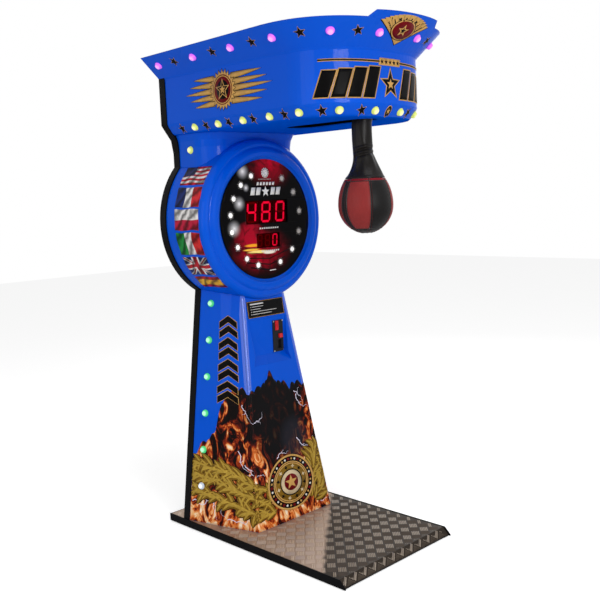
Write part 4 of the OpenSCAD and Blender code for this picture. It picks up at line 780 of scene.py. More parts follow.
# The reject button's return spring is four turns of steel wire round the button's pin. It is
# held between the button and the coin mechanism, and shortens by the button's 5 mm.
wire, coil, spring_foot, spring_long = 0.0006, 0.0055, 0.2782, 0.0118
turned_by = np.linspace(0, 8 * math.pi, 193)
winding = np.stack([0.077 + coil * np.cos(turned_by), spring_foot - wire - spring_long * (1 - turned_by / (8 * math.pi)),
                    0.883 + coil * np.sin(turned_by)], -1)
piece = press("button_spring", [(piping(winding, wire, 10), 0)], [screw_steel])
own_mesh(piece)
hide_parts("reject_spring")

# DRUM SIDE FLAGS
# Six small printed flags on each side of the drum, one under the other. They are cut with
# waved edges, and each print is shaded with folds as if it blew in the wind.
drum_r, flag_rear, flag_front = 0.370, 0.434, 0.269


def on_drum(side):
    """The drum's skin: a runs to the right as seen from outside, b is the arc above the centre line."""
    def skin(a, b):
        y = side * a
        r = 0.366 + 0.006 * np.clip((y - 0.261) / 0.232, -1, 1.2)
        q = b / drum_r
        return np.stack([side * r * np.cos(q), y, drum_z + r * np.sin(q)], -1)
    return skin


def flag_print(name, across_it, bands, canton=None, cross=False):
    """A flag as print: bands of colour along U or V with hard edges, an optional canton of
    another colour, or a cross with its diagonals, all dimmed and lit by slanting folds."""
    m = bpy.data.materials.new(name)
    t = empty(m)
    uv = add(t, "UVMap", uv_map="print")
    apart = add(t, "SeparateXYZ", {0: uv}).outputs
    u, v = apart["X"], apart["Y"]
    slant = calc(t, "ADD", calc(t, "MULTIPLY", u, 9.0), calc(t, "MULTIPLY", v, 3.0))
    wave = calc(t, "MULTIPLY", calc(t, "SINE", slant), 0.03)
    v_waved = calc(t, "ADD", v, wave)
    along = calc(t, "ADD", u, wave) if across_it else v_waved
    colour = ramp(t, along, [(at, shade(*rgb)) for at, rgb in bands], hard=True)
    if canton:
        inside = calc(t, "MULTIPLY", calc(t, "LESS_THAN", u, 0.45), calc(t, "GREATER_THAN", v_waved, 0.46))
        colour = blend(t, inside, colour, shade(*canton))
    if cross:
        from_u, from_v = (calc(t, "ABSOLUTE", calc(t, "SUBTRACT", w, 0.5)) for w in (u, v_waved))
        diagonal = calc(t, "ABSOLUTE", calc(t, "SUBTRACT", from_u, from_v))
        upright = calc(t, "MINIMUM", from_u, from_v)
        for off, half, rgb in ((diagonal, 0.10, (224, 222, 220)), (diagonal, 0.035, (176, 24, 40)),
                               (upright, 0.15, (224, 222, 220)), (upright, 0.085, (182, 26, 42))):
            colour = blend(t, calc(t, "LESS_THAN", off, half), colour, shade(*rgb))
    leant = add(t, "Mapping", {0: uv, "Scale": (2.2, 1.2, 1), "Rotation": (0, 0, 0.8)})
    fold = add(t, "TexWave", {0: leant, "Scale": 0.55, "Distortion": 9, "Detail": 3, "Detail Scale": 1.4})
    colour = blend(t, 0.8, colour, fold.outputs["Color"], "MULTIPLY")
    show(t, {"Base Color": colour, "Roughness": 0.32, "Specular IOR Level": 0.08})
    return m


red, pale, navy = (196, 34, 48), (232, 228, 226), (24, 40, 104)
prints = [
    flag_print("flag_striped", False, [(k / 9, pale if k % 2 else red) for k in range(9)], canton=(30, 34, 84)),
    flag_print("flag_blue_white_red", True, [(0.0, navy), (0.34, pale), (0.67, (208, 44, 52))]),
    flag_print("flag_white_red", False, [(0.0, (186, 30, 60)), (0.49, pale)]),
    flag_print("flag_green_white_red", True, [(0.0, (34, 138, 62)), (0.34, pale), (0.67, (206, 44, 44))]),
    flag_print("flag_crossed", True, [(0.0, navy), (0.99, navy)], cross=True),
    flag_print("flag_red_yellow", False, [(0.0, (182, 18, 28)), (0.25, (232, 176, 40)), (0.74, (182, 18, 28))]),
]
rows = [(42.0, 27.0), (25.2, 11.0), (9.8, -4.7), (-6.3, -22.2), (-24.0, -39.2), (-41.2, -53.2)]
u, v = np.meshgrid(np.linspace(0, 1, 25), np.linspace(0, 1, 17))
for side, word in ((-1, "left"), (1, "right")):
    parts = []
    for k, (up, down) in enumerate(rows):
        b = np.radians(down + (up - down) * v) * drum_r + 0.0018 * np.sin(u * 8 + k) * (1 if k else 0.2)
        if side < 0:
            a = -(flag_rear + (flag_front - flag_rear) * u + 0.0016 * np.sin(v * 7 + k))
        else:
            a = flag_front + (flag_rear - flag_front) * u
        parts.append((lay(on_drum(side), a, b, 0.0006), k, np.stack([u, v], -1)))
    piece = press("drum_flags_" + word, parts, prints, film=0.0002, mapped=True)

# DISPLAY
# A printed polycarbonate face in the drum: black with red fields, clear windows over the
# digit modules, and a painted glint over each small lamp. The modules and lamps are on a board.
window_film = bpy.data.materials.new("window_film")
tree = empty(window_film)
tinted = add(tree, "BsdfTransparent", {"Color": (0.90, 0.35, 0.42, 1)})
shine = add(tree, "BsdfPrincipled", {"Base Color": (0.02, 0.0, 0.002, 1), "Roughness": 0.08})
facing = add(tree, "Fresnel", {"IOR": 1.06})
add(tree, "OutputMaterial", {0: add(tree, "MixShader", {0: facing, 1: tinted, 2: shine})})
dress(window_film, "display_lens")
board_green = finish("board_green", shade(16, 74, 38), 0.45, vary=0.2, patch=60, grain=300, depth=0.0002,
                     scuff=shade(60, 120, 60))
dress(board_green, "display_board", "control_board")
# Unlit segments and the modules' faces glow faintly: a painted glow stands in for the light on them.
unlit_painted_glow = finish("unlit_segment_painted_glow", shade(84, 2, 20), 0.5, gloss=0.05, vary=0.1, grain=200, glow=0.45)
module_face_painted_glow = finish("module_face_painted_glow", shade(52, 2, 12), 0.5, gloss=0.05, vary=0.15, grain=300, glow=0.35)
lit_red = finish("lit_red", shade(232, 48, 122), 0.4, gloss=0.05, vary=0.03, glow=0.80)
lamp_white = finish("lamp_white", shade(240, 240, 238), 0.35, vary=0.04, glow=0.9)
dress(module_face_painted_glow, "score_digits", "credit_digits")
dress(lamp_white, "display_lamps")
face_y, face_r, face_z = 0.2328, 0.2732, drum_z


def on_face(a, b):
    """The flat face of the display: a across, b the height."""
    return np.stack([a, face_y + 0 * a, b], -1)


def face_print(name):
    """The printed face: black, with a red field at the top and one low down, golden streaks in
    the low one and small soft spotlights at the left, the fields broken up by a smoky noise."""
    m = bpy.data.materials.new(name)
    t = empty(m)
    place = add(t, "TexCoord").outputs["Object"]
    smoke = remap(t, noise(t, place, 17, 6, twist=0.9), 0.36, 0.60, 0.35, 1.5)
    fields = [((0.035, 1.720), (0.170, 0.180), (188, 10, 40), 1.25, 0.95, True),
              ((-0.04, 1.295), (0.215, 0.130), (176, 8, 36), 1.35, 0.95, True),
              ((-0.105, 1.362), (0.100, 0.075), (176, 14, 40), 1.55, 0.8, True),
              ((-0.085, 1.322), (0.060, 0.0075), (250, 170, 40), 2.6, 0.95, False),
              ((-0.100, 1.303), (0.055, 0.0060), (250, 196, 70), 2.6, 0.95, False),
              ((-0.060, 1.291), (0.075, 0.0085), (252, 226, 130), 2.6, 0.95, False),
              ((0.010, 1.285), (0.045, 0.0090), (246, 236, 220), 2.4, 0.9, False)]
    lights = ((-0.132, 1.655, 0.042), (-0.116, 1.582, 0.022), (-0.160, 1.512, 0.040), (-0.196, 1.402, 0.046))
    fields += [((x, z), (r, r), (236, 234, 234), 1.0, 0.85, False) for x, z, r in lights]
    colour = shade(9, 8, 9)
    for (x, z), (wide, tall), rgb, strength, most, smoky in fields:
        kind = "SPHERICAL" if strength > 1.5 else "QUADRATIC_SPHERE"
        share = calc(t, "MULTIPLY", spot(t, place, (x, face_y, z), (wide, 1.0, tall), kind), strength)
        if smoky:
            share = calc(t, "MULTIPLY", share, smoke)
        colour = blend(t, calc(t, "MINIMUM", share, most), colour, shade(*rgb))
    show(t, {"Base Color": colour, "Emission Color": colour, "Emission Strength": 0.12, "Roughness": 0.3,
             "Specular IOR Level": 0.035})
    return m


# The face is cut from strips between the window edges, so that the windows stay open.
score = (-0.124, 0.134, 1.4180, 1.5240)
credit = (-0.0650, 0.0780, 1.3070, 1.3730)


def half_chord(z):
    """Half width of the round face at a height."""
    return np.sqrt(np.maximum(0, face_r ** 2 - (z - face_z) ** 2))


parts = []
levels = [face_z - face_r, credit[2], credit[3], score[2], score[3], face_z + face_r]
s = np.linspace(0, 1, 40)
for k in range(5):
    z0, z1 = levels[k], levels[k + 1]
    if k == 0:
        z = face_z - face_r * np.cos(s * math.acos((face_z - z1) / face_r))
    elif k == 4:
        z = face_z + face_r * np.cos((1 - s) * math.acos((z0 - face_z) / face_r))
    else:
        z = z0 + (z1 - z0) * s
    edge, gap = half_chord(z), {1: credit, 3: score}.get(k)
    for x0, x1 in ((-edge, gap[0] + 0 * z), (gap[1] + 0 * z, edge)) if gap else ((-edge, edge),):
        xx = x0[:, None] + (x1 - x0)[:, None] * np.linspace(0, 1, 24)[None]
        parts.append((on_face(xx, np.broadcast_to(z[:, None], xx.shape)), 0))
piece = press("display_print", parts, [face_print("face_print")], film=0.0002)


def ray(way, r0, r1, half, steps):
    """Grid of a thin bar that points outwards at a bearing, between two radii."""
    u, v = np.meshgrid(np.linspace(r0, r1, steps), np.array([-1.0, 1.0]))
    return u * math.cos(way) - v * half * math.sin(way), u * math.sin(way) + v * half * math.cos(way)


def ticks(x0, x1, z0, tall, count, k):
    """A row of small slanting blocks."""
    step = (x1 - x0) / count
    for n in range(count):
        w, lean = x0 + step * n, tall * 0.25
        q = [(w, z0), (w + step * 0.66, z0), (w + step * 0.66 + lean, z0 + tall), (w + lean, z0 + tall)]
        stick(parts, on_face, slab(q, 2, 3), 0.0006, k)


# A painted glint stands over each small lamp: a glowing disc with short rays, brighter where the lamp is lit.
lamp_angles = [-22.5 - 20.1 * k for k in range(8)] + [30.1 + 25.8 * k for k in range(6)]
lamp_ring = 0.215
painted_glint_lit = finish("painted_glint_lit", shade(236, 234, 230), 0.4, gloss=0.1, vary=0.03, glow=0.42)
painted_glint_dim = finish("painted_glint_dim", shade(178, 172, 166), 0.4, gloss=0.1, vary=0.03, glow=0.12)
parts = []
for k, q in enumerate(lamp_angles):
    at = out_from((0, face_z), lamp_ring, math.pi / 2 - math.radians(q))
    stick(parts, on_face, fan(star(0.0122, 0.3 * k, 20, 0.95, 2), 3), 0.0005, 0 if k < 8 or k in (12, 13) else 1, at)
    for n in range(12):
        thin = ray(n * math.pi / 6 + 0.3 * k, 0.0138, 0.0200 if n % 2 else 0.0182, 0.0008, 3)
        stick(parts, on_face, thin, 0.0005, 1, at)
# A chip at the top, a row of slanting bars round a star over the score, and lines under both windows.
chip = (0.003, 1.648)
for r0, r1, k, up in ((1e-4, 0.0225, 3, 0.0003), (0.0150, 0.0172, 2, 0.0005), (0.0082, 0.0094, 2, 0.0005)):
    stick(parts, on_face, ring_of(r0, r1, 40, 2), up, k, chip)
for n in range(12):
    stick(parts, on_face, ray(n * math.pi / 6, 0.0188, 0.0226, 0.0020, 2), 0.0005, 4, chip)
stick(parts, on_face, slab([(-0.098, 1.543), (0.092, 1.543), (0.102, 1.587), (-0.086, 1.587)], 2, 8), 0.0003, 4)
for x0 in (-0.092, -0.059, 0.030, 0.063):
    ticks(x0, x0 + 0.038, 1.548, 0.034, 1, 3)
ticks(-0.052, 0.062, 1.592, 0.014, 6, 3)
stick(parts, on_face, fan(star(0.0255)), 0.0007, 3, (0.002, 1.563))
ticks(-0.040, 0.040, 1.6165, 0.005, 9, 5)
ticks(-0.046, 0.076, 1.3930, 0.0075, 9, 3)
ticks(-0.040, 0.074, 1.2885, 0.0070, 9, 3)
stick(parts, on_face, slab([(0.008, 1.198), (0.046, 1.200), (0.046, 1.204), (0.008, 1.202)], 2, 4), 0.0004, 3)
# Dark beams run across the low red field.
for x0, z0, x1, z1, w in ((-0.150, 1.268, 0.010, 1.256, 0.0022), (0.010, 1.256, 0.135, 1.290, 0.0022),
                          (-0.130, 1.246, 0.012, 1.228, 0.0026), (0.012, 1.228, 0.110, 1.258, 0.0026),
                          (-0.108, 1.222, 0.012, 1.203, 0.0030), (0.008, 1.196, 0.012, 1.258, 0.0018),
                          (-0.140, 1.292, -0.050, 1.283, 0.0014), (-0.135, 1.312, -0.064, 1.308, 0.0012)):
    ex, ez = w * (z0 - z1) / math.hypot(x1 - x0, z1 - z0), w * (x1 - x0) / math.hypot(x1 - x0, z1 - z0)
    beam = slab([(x0 - ex, z0 - ez), (x1 - ex, z1 - ez), (x1 + ex, z1 + ez), (x0 + ex, z0 + ez)], 2, 4)
    stick(parts, on_face, beam, 0.00025, 4)
burst_soft = finish("burst_soft", shade(150, 140, 136), 0.4, gloss=0.1, vary=0.1, glow=0.05)
piece = press("display_bursts", parts, [painted_glint_lit, painted_glint_dim, red_film, white_film, black_film, burst_soft], film=0.0001)


# The digits are seven-segment modules. Each segment is a bar with mitred ends, leant over a
# little, and shows red when lit and a dark red with a painted glow when not.
def digit(cx, cz, wide, tall, stroke, lit):
    """Grids of one digit's segments: bars along the edges and the middle, with pointed ends."""
    got = []
    h, w = tall / 2, wide / 2
    bars = {"a": (0, h, 0), "g": (0, 0, 0), "d": (0, -h, 0), "f": (-w, h / 2, 1), "b": (w, h / 2, 1),
            "e": (-w, -h / 2, 1), "c": (w, -h / 2, 1)}
    for key, (sx, sz, upright) in bars.items():
        half = (h / 2 if upright else w) - stroke * 0.12
        along = np.broadcast_to(np.array([-1, -1 + stroke / half / 2, 0, 1 - stroke / half / 2, 1]) * half, (2, 5))
        aside = np.array([-1, 1])[:, None] * (np.array([0.02, 1, 1, 1, 0.02]) * stroke / 2)
        a, b = (aside[::-1], along) if upright else (along, aside)
        grid = np.stack([cx + sx + a + (sz + b) * 0.10, np.full(a.shape, digit_y), cz + sz + b], -1)
        got.append((grid, 1 if key in lit else 0))
    return got


digit_y = 0.2387
segments = {"4": "fgbc", "8": "abcdefg", "0": "abcdef", " ": ""}
parts = []
for k, c in enumerate("480"):
    parts += digit(0.004 + 0.088 * (k - 1), 1.4705, 0.047, 0.085, 0.0105, segments[c])
for k, c in enumerate("  0"):
    parts += digit(0.006 + 0.047 * (k - 1), 1.340, 0.025, 0.050, 0.0058, segments[c])
piece = press("digit_segments", parts, [unlit_painted_glow, lit_red], smooth=False)

# HEAD AND CROWN PRINTS
# Stars run between the lamps, a row of slanting bars goes round the nose with a star in its
# middle, a burst with bars stands on each side, and a half sun fills the crest.
turn = np.radians(np.linspace(-90, 90, 721))
bow = np.sign(np.sin(turn)) * np.abs(np.sin(turn)) ** (2 / nose_power)
stem_of = np.abs(np.cos(turn)) ** (2 / nose_power)
nose = np.stack([nose_half * bow, -nose_start - nose_deep * stem_of], -1)
plan = np.concatenate([[(-nose_half, shell_y)], nose, [(nose_half, shell_y)]])
grow = np.concatenate([[(-1, 0)], np.stack([bow, -stem_of], -1), [(1, 0)]])


def way_round(offset):
    """Distance round the head at an offset, zero at the nose's middle."""
    p = plan + offset * grow
    s = np.concatenate([[0], np.cumsum(np.linalg.norm(np.diff(p, axis=0), axis=1))])
    return s - s[-1] / 2


def on_head(measured_at):
    """The head's wall and its sloped lower edge: a is the way round measured at an offset, b the height."""
    s = way_round(measured_at)

    def skin(a, b):
        o = np.interp(b, [1.830, 1.8367, 1.8674, 1.878, 2.08], [-0.036, -0.0259, -0.0043, 0, 0])
        return np.stack([np.interp(a, s, plan[:, c]) + o * np.interp(a, s, grow[:, c]) for c in (0, 1)]
                        + [b + 0 * a], -1)
    return skin


crown_s = way_round(0.0529)
crown_z, slope_long, crest_long = 2.080, 0.1315, 0.0373


def on_crown(a, b):
    """The crown's slope and, past slope_long, the crest that carries it on: a is the way round, b
    the way up the slope. The rim drops a little towards the rear."""
    t = np.clip(b / slope_long, 0, 1)
    k = np.maximum(0, b - slope_long) / crest_long
    o = 0.004 + 0.091 * t + 0.0258 * k - np.where(k > 0, 0.001, 0)
    x, y = [np.interp(a, crown_s, plan[:, c]) + o * np.interp(a, crown_s, grow[:, c]) for c in (0, 1)]
    rear = np.interp(a, crown_s, plan[:, 1]) + 0.095 * np.interp(a, crown_s, grow[:, 1])
    drop = 0.011 * np.maximum(0, 1 + (rear - 0.534) / 0.573)
    return np.stack([x, y, crown_z + t * (0.095 - drop) + 0.027 * k], -1)


# Filler closes the joint of the crown on the head, rubbed down to a slope and painted over.
levels = ((0.0003, 2.0735), (0.0030, 2.0778), (0.0060, 2.0820))
seam = np.stack([np.concatenate([plan + o * grow, np.full((len(plan), 1), z)], 1) for o, z in levels])
piece = press("crown_filler", [(seam, 0)], [gel_coat("filler_blue", round_off=0.0)], film=0.0006, smooth=False)

tips = (0.25, -0.3, 0.1, 0.5, -0.15)
lower_row, upper_row = (0.142, 0.302, 0.471, 0.653, 0.804, 0.955, 1.122), (0.211, 0.431, 0.675, 0.917, 1.175)
band, band_z = on_head(-0.0151), 1.8515
parts = stars(band, [(s * p, band_z) for p in lower_row for s in (-1, 1)], 0.0235, tips)
disc = ring_of(1e-4, 0.021, 32, 3)
stick(parts, band, disc, 0.0006, 0, (0, band_z), (0.8, 1))
stick(parts, band, disc, 0.0010, 1, (0, band_z), (0.68, 0.88))
stick(parts, band, fan(star(0.011, 0.2)), 0.0014, 0, (0, band_z))
parts += stars(on_crown, [(s * p, 0.072) for p in upper_row for s in (-1, 1)], 0.026, tips)
piece = press("shell_stars", parts, [gold_film, black_film], film=0.0003)

wall = on_head(0.0)
parts = []
for side in (-1, 1):
    for n in range(4):
        x0, w, h, lean = side * (0.101 + n * 0.066) - 0.026, 0.050, 0.112 - 0.006 * n, 0.034 / 2
        for k, (g, up) in enumerate(((0.0062, 0.0006), (0.0022, 0.0008), (0.0, 0.0010))):
            leant = slab([(x0 - g * 1.4 - lean, -g), (x0 + w + g * 0.8 - lean, -g),
                          (x0 + w + lean + g * 1.4, h + g), (x0 + lean - g * 0.8, h + g)])
            stick(parts, wall, leant, up, (0, 1, 1)[k], (0, 1.9005))
    for half, k, up in ((0.0052, 0, 0.0006), (0.0026, 1, 0.0010)):
        a, b = bar(*sorted((side * 0.060, side * 0.325)), -half, half, 24, 3)
        stick(parts, wall, (a, b - 0.004 * np.abs(a)), up, k, (0, 2.036))
for s, k, up in ((0.064, 0, 0.0006), (0.053, 1, 0.0010), (0.022, 0, 0.0014)):
    stick(parts, wall, fan(star(s)), up, k, (0, 1.953))
stick(parts, wall, slab([(-0.066, 2.022), (0.060, 2.022), (0.066, 2.050), (-0.060, 2.050)], 4, 16), 0.0007, 0)
for n in range(5):
    stick(parts, wall, fan(star(0.0105, 0.12)), 0.0012, 1, ((n - 2) * 0.0236, 2.0355))
piece = press("nose_bars", parts, [gold_film, black_film], film=0.0003)

# The side burst: a toothed disc with a star, and five rays to each side in gold leaf that runs
# from light to dark.
leaf_ray = finish("leaf_ray", shade(176, 138, 74), 0.4, gloss=0.1, vary=0.55, patch=26, grain=220, depth=0.0003,
                  stretch=(1, 1, 3), scuff=shade(232, 206, 150))
ray_long, ray_wide, ray_gap = 0.246, 0.0122, 0.0245
u, v = np.meshgrid(np.linspace(0, 1, 24), np.linspace(-1, 1, 4))
parts = []
for side in (-1, 1):
    middle = (side * 0.838, 1.984)
    for s, k, up in ((0.086, 1, 0.0016), (0.082, 0, 0.0020)):
        stick(parts, wall, fan(star(s, 0, 24, 0.80, 3)), up, k, middle)
    for r0, r1, k, up in ((1e-4, 0.061, 2, 0.0024), (0.053, 0.057, 0, 0.0028), (1e-4, 0.0385, 1, 0.0026)):
        stick(parts, wall, ring_of(r0, r1, 60), up, k, middle)
    for s, k, up in ((0.046, 0, 0.0030), (0.036, 1, 0.0034), (0.020, 0, 0.0038)):
        stick(parts, wall, fan(star(s)), up, k, middle)
    for hand in (-1, 1):
        for n in range(5):
            long = ray_long - 0.030 * abs(n - 2) - (0.05 if hand * side > 0 else 0)
            for g, k, up in ((0.0024, 1, 0.0006), (0.0, 3, 0.0010), (-0.0048, 0, 0.0014)):
                a = hand * (0.052 + (long + g * 2) * u)
                b = (n - 2) * (ray_gap + 0.004 * u) + v * ((ray_wide + g) * (1 - 0.6 * u) * (1 - u ** 4) + 1e-4)
                stick(parts, wall, (a[:, ::hand], b[:, ::hand]), up, k, middle)
piece = press("side_bursts", parts, [gold_film, black_film, red_film, leaf_ray], film=0.0003)

# The crest's sun: rays fan out upwards from a dark red disc with a star.
parts = []
ray_count, sun_z, sun_wide = 15, 0.027, 1.22
q = np.radians(90 - 44 + 88 * np.linspace(0, 1, 121))
reach_out = 0.146 + 0.012 * np.cos((q - math.pi / 2) * 60)
v = np.linspace(0, 1, 14)[::-1, None]
for grow_by, k, up in ((0.004, 1, 0.0005), (0.0, 0, 0.0008)):
    half_sun = v * (reach_out + grow_by) * np.cos(q), v * np.minimum(reach_out, 0.131) * np.sin(q)
    stick(parts, on_crown, half_sun, up, k, (0, sun_z - grow_by), (sun_wide, 1 + grow_by * 4))
for n in range(ray_count):
    w = math.radians(90 - 40 + 80 * n / (ray_count - 1))
    long = 0.118 + 0.012 * (n % 2)
    u, e = np.meshgrid(np.linspace(0.40, 1, 8), np.array([-1.0, 1.0]))
    off = e * 0.0030 * u
    a = sun_wide * u * long * math.cos(w) - off * math.sin(w)
    b = u * long * math.sin(w) + off * math.cos(w)
    stick(parts, on_crown, (a, b), 0.0011, 3 if n % 2 else 1, (0, sun_z))
for r, k, up in ((0.050, 1, 0.0014), (0.047, 0, 0.0017), (0.042, 2, 0.0020)):
    stick(parts, on_crown, ring_of(1e-4, r, 60), up, k, (0, 0.092), (1.32, 0.92))
for s, k, up in ((0.030, 0, 0.0024), (0.016, 1, 0.0028)):
    stick(parts, on_crown, fan(star(s)), up, k, (0, 0.090), (1, 0.9))
piece = press("crest_sun", parts, [gold_film, black_film, red_film, leaf_ray], film=0.0003)

# LAMP CAPS
# Push-in caps of tinted clear plastic over small bulbs: a dome with moulded flutes over a flat
# flange. Yellow along the head's lower edge and on the neck, pink on the crown, green up the
# column. They glow when the machine waits.
def cap_glow(name, core, rim):
    """Tinted plastic lit from behind: pale where the bulb shows through the dome's middle and a
    deeper colour towards the flange, by the cap's own map; a few flutes darken it."""
    m = bpy.data.materials.new(name)
    t = empty(m)
    apart = add(t, "SeparateXYZ", {0: add(t, "UVMap", uv_map="print")}).outputs
    deeper = tuple((p + 2 * q) / 3 for p, q in zip(core, rim))
    stops = ((0.0, core), (0.42, core), (0.74, deeper), (1.0, rim))
    colour = ramp(t, apart["Y"], [(at, shade(*rgb)) for at, rgb in stops])
    flutes = calc(t, "SINE", calc(t, "MULTIPLY", apart["X"], 24 * 2 * math.pi))
    show(t, {"Base Color": colour, "Emission Color": colour, "Emission Strength": 0.52, "Roughness": 0.2,
             "Specular IOR Level": 0.3,
             "Normal": add(t, "Bump", {"Height": flutes, "Strength": 0.5, "Distance": 0.0006})})
    return m


cap_shape = [(0.0165, -0.0014), (0.0170, 0.0006), (0.0168, 0.0022), (0.0158, 0.0030), (0.0149, 0.0032), (0.0145, 0.0044),
             (0.0138, 0.0075), (0.0122, 0.0106), (0.0094, 0.0129), (0.0052, 0.0140), (0.0, 0.0143)]


def cap(foot, axis, kind=0):
    """A cap that stands on foot along axis, with a map: U round it, V from the middle out."""
    grid = turned_part(cap_shape, foot, axis, 24)
    u = np.broadcast_to(np.linspace(0, 1, grid.shape[1]), grid.shape[:2])
    v = np.broadcast_to(np.array([r for r, h in cap_shape])[:, None] / 0.017, grid.shape[:2])
    return grid, kind, np.stack([u, v], -1)


def cap_at(surface, a, b, kind=0):
    """A cap pushed into a surface at (a, b), square to it."""
    a, b = np.array([a]), np.array([b])
    foot = surface(a, b)[0]
    return cap(foot, lay(surface, a, b, 1.0)[0] - foot, kind)


yellow = cap_glow("cap_yellow", (240, 238, 178), (178, 190, 84))
pink = cap_glow("cap_pink", (244, 166, 246), (206, 92, 220))
green = cap_glow("cap_green", (176, 246, 200), (44, 178, 96))
clear = cap_glow("cap_clear", (236, 240, 244), (150, 160, 176))
caps = [cap_at(band, s * 0.159 * (k + 0.48), 1.8521) for k in range(7) for s in (-1, 1)]
caps += [cap((s * 0.277, 0.409, 1.759), (s, 0, 0)) for s in (-1, 1)]
piece = press("yellow_caps", caps, [yellow], mapped=True)
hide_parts("head_lamps")
ways = [0.114] + [0.2425 * (k + 1.31) for k in range(5)]
caps = [cap_at(on_crown, s * w, 0.0706) for w in ways for s in (-1, 1)]
piece = press("pink_caps", caps, [pink], mapped=True)
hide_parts("crown_lamps")
levels = [0.206 + 0.170 * k for k in range(6)]
caps = [cap_at(on_column, column_way(0.435, z, s), z, 1 if z == levels[0] else 0) for z in levels for s in (-1, 1)]
piece = press("green_caps", caps, [green, clear], mapped=True)
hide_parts("column_lamps")

# PUNCH MECHANISM
# Carriage plates hang from the beams and carry cast bearing blocks. The arm is a steel tube on
# a clamped hub, with a stop lug between two rubber buffers, a latch, and a slotted sensor disc.
cast_green = finish("cast_green", shade(62, 104, 74), 0.5, vary=0.16, patch=30, grain=260, depth=0.0006, bite=0.6,
                    round_off=0.0015)
arm_steel = finish("arm_steel", shade(88, 92, 98), 0.36, metal=0.7, vary=0.2, patch=20, grain=420, depth=0.0002,
                   stretch=(1, 1, 0.1), round_off=0.001)
bright_steel = finish("bright_steel", shade(190, 194, 198), 0.22, metal=1.0, vary=0.1, patch=30, grain=700,
                      depth=0.0001, stretch=(0.08, 1, 1))
buffer_rubber = finish("buffer_rubber", shade(22, 22, 23), 0.75, gloss=0.3, vary=0.2, grain=600, depth=0.0004)
dress(tube_paint, "carriage_plates", "buffer_bars")
dress(cast_green, "bearing_blocks")
dress(bright_steel, "pivot_bearings", "pivot_shaft", "latch_bolt", "sensor_disc")
dress(arm_steel, "swing_arm")
dress(buffer_rubber, "rubber_buffers")
dress(dark_plastic, "optical_sensor", "latch_solenoid", "power_switch")

# REAR DOOR AND MAINS INLET
# A folded steel door with vent slots, hung on two pin hinges and closed by a cam lock, and an
# appliance inlet with a rocker switch beside it.
door_paint = finish("door_paint", shade(24, 24, 26), 0.44, vary=0.2, grain=520, depth=0.0004, bite=0.5, round_off=0.001,
                    scuff=shade(52, 52, 54))
dress(door_paint, "rear_door")
dress(zinc, "door_hinges", "lock_barrel", "lock_cam")
dress(dark_plastic, "mains_inlet")

# SLEEVE
# A tube of soft black leather over the arm, sewn up one side. It creases about the knee and
# flares to a bound hem that covers the ball's laced top.
def leather(name, tone, rough, gloss, around=None):
    """Leather: a cell pattern gives the pores and a fine noise the creases, with a dull sheen;
    around colours it by panels round the ball's upright axis, with a collar and a foot cap."""
    m = bpy.data.materials.new(name)
    t = empty(m)
    place = add(t, "TexCoord").outputs["Object"]
    slow = noise(t, place, 11, 6)
    if around is None:
        deep, pale = (tuple(v * k for v in tone[:3]) + (1,) for k in (0.72, 1.3))
    else:
        centred = add(t, "Mapping", {0: place, "Location": (0, -pivot_y, -centre_z)})
        apart = add(t, "SeparateXYZ", {0: centred}).outputs
        x, y, z = (apart[k] for k in "XYZ")
        bearing = remap(t, calc(t, "ARCTAN2", y, x), -math.pi, math.pi)
        panels = ramp(t, bearing, around, hard=True)
        collar = blend(t, calc(t, "GREATER_THAN", z, collar_z), panels, shade(128, 16, 30))
        pale = blend(t, calc(t, "LESS_THAN", z, foot_z), collar, shade(18, 17, 17))
        deep = blend(t, 1.0, pale, (0.68, 0.66, 0.66, 1), "MULTIPLY")
    pores = add(t, "TexVoronoi", {"Vector": place, "Scale": 420})
    creased = calc(t, "ADD", pores, noise(t, place, 90, 8, twist=0.6))
    show(t, {"Base Color": blend(t, slow, deep, pale), "Specular IOR Level": gloss, "Sheen Weight": 0.05,
             "Sheen Roughness": 0.5, "Roughness": remap(t, slow, 0.3, 0.7, rough * 0.85, rough * 1.2),
             "Normal": add(t, "Bump", {"Height": creased, "Strength": 0.35, "Distance": 0.0005})})
    return m


black_leather = leather("black_leather", shade(21, 18, 16), 0.32, 0.13)
pivot_y, top_of_sleeve, knee, hem, sleeve_thick, bore = -0.371, 1.849, 1.697, 1.5965, 0.0028, 0.0172


def sleeve_radius(z, q, inner):
    """Radius of the sleeve at height z and bearing q: straight to the knee, then a flare that
    starts at once on the right and only near the hem on the left; two creases cross the side
    that faces the front left, and a seam runs down the left."""
    t = np.clip((knee - z) / (knee - hem - 0.004), 0, 1)
    right = 0.5 + 0.5 * np.cos(q - math.radians(315.6))
    r = 0.041 + right * 0.0395 * t ** 1.1 + (1 - right) * 0.036 * t ** 2.6
    front = np.clip(np.cos(q - math.radians(235)), 0, 1)
    way = z - 0.010 * np.sin(q - math.radians(190))
    r = r + front * sum(rise_by * np.exp(-((way - at) / soft) ** 2) for rise_by, at, soft in (
        (0.0038, 1.716, 0.006), (-0.0056, 1.706, 0.005), (0.0046, 1.696, 0.006), (-0.0044, 1.686, 0.006)))
    r = r + 0.0016 * np.sin(9 * q - 30 * (z - hem)) * np.clip(4 * t * (1 - t), 0, 1)
    r = r + 0.0012 * np.sin(3 * q + 1.0) * t + 0.0010 * np.sin(5 * q + 40 * z) * np.clip((1.83 - z) / 0.1, 0, 1)
    r = r + 0.0018 * np.exp(-((q - math.radians(187)) / 0.07) ** 2)
    r = r + 0.0010 * np.exp(-((z - hem - 0.005) / 0.005) ** 2)
    return r - (sleeve_thick if inner else 0)


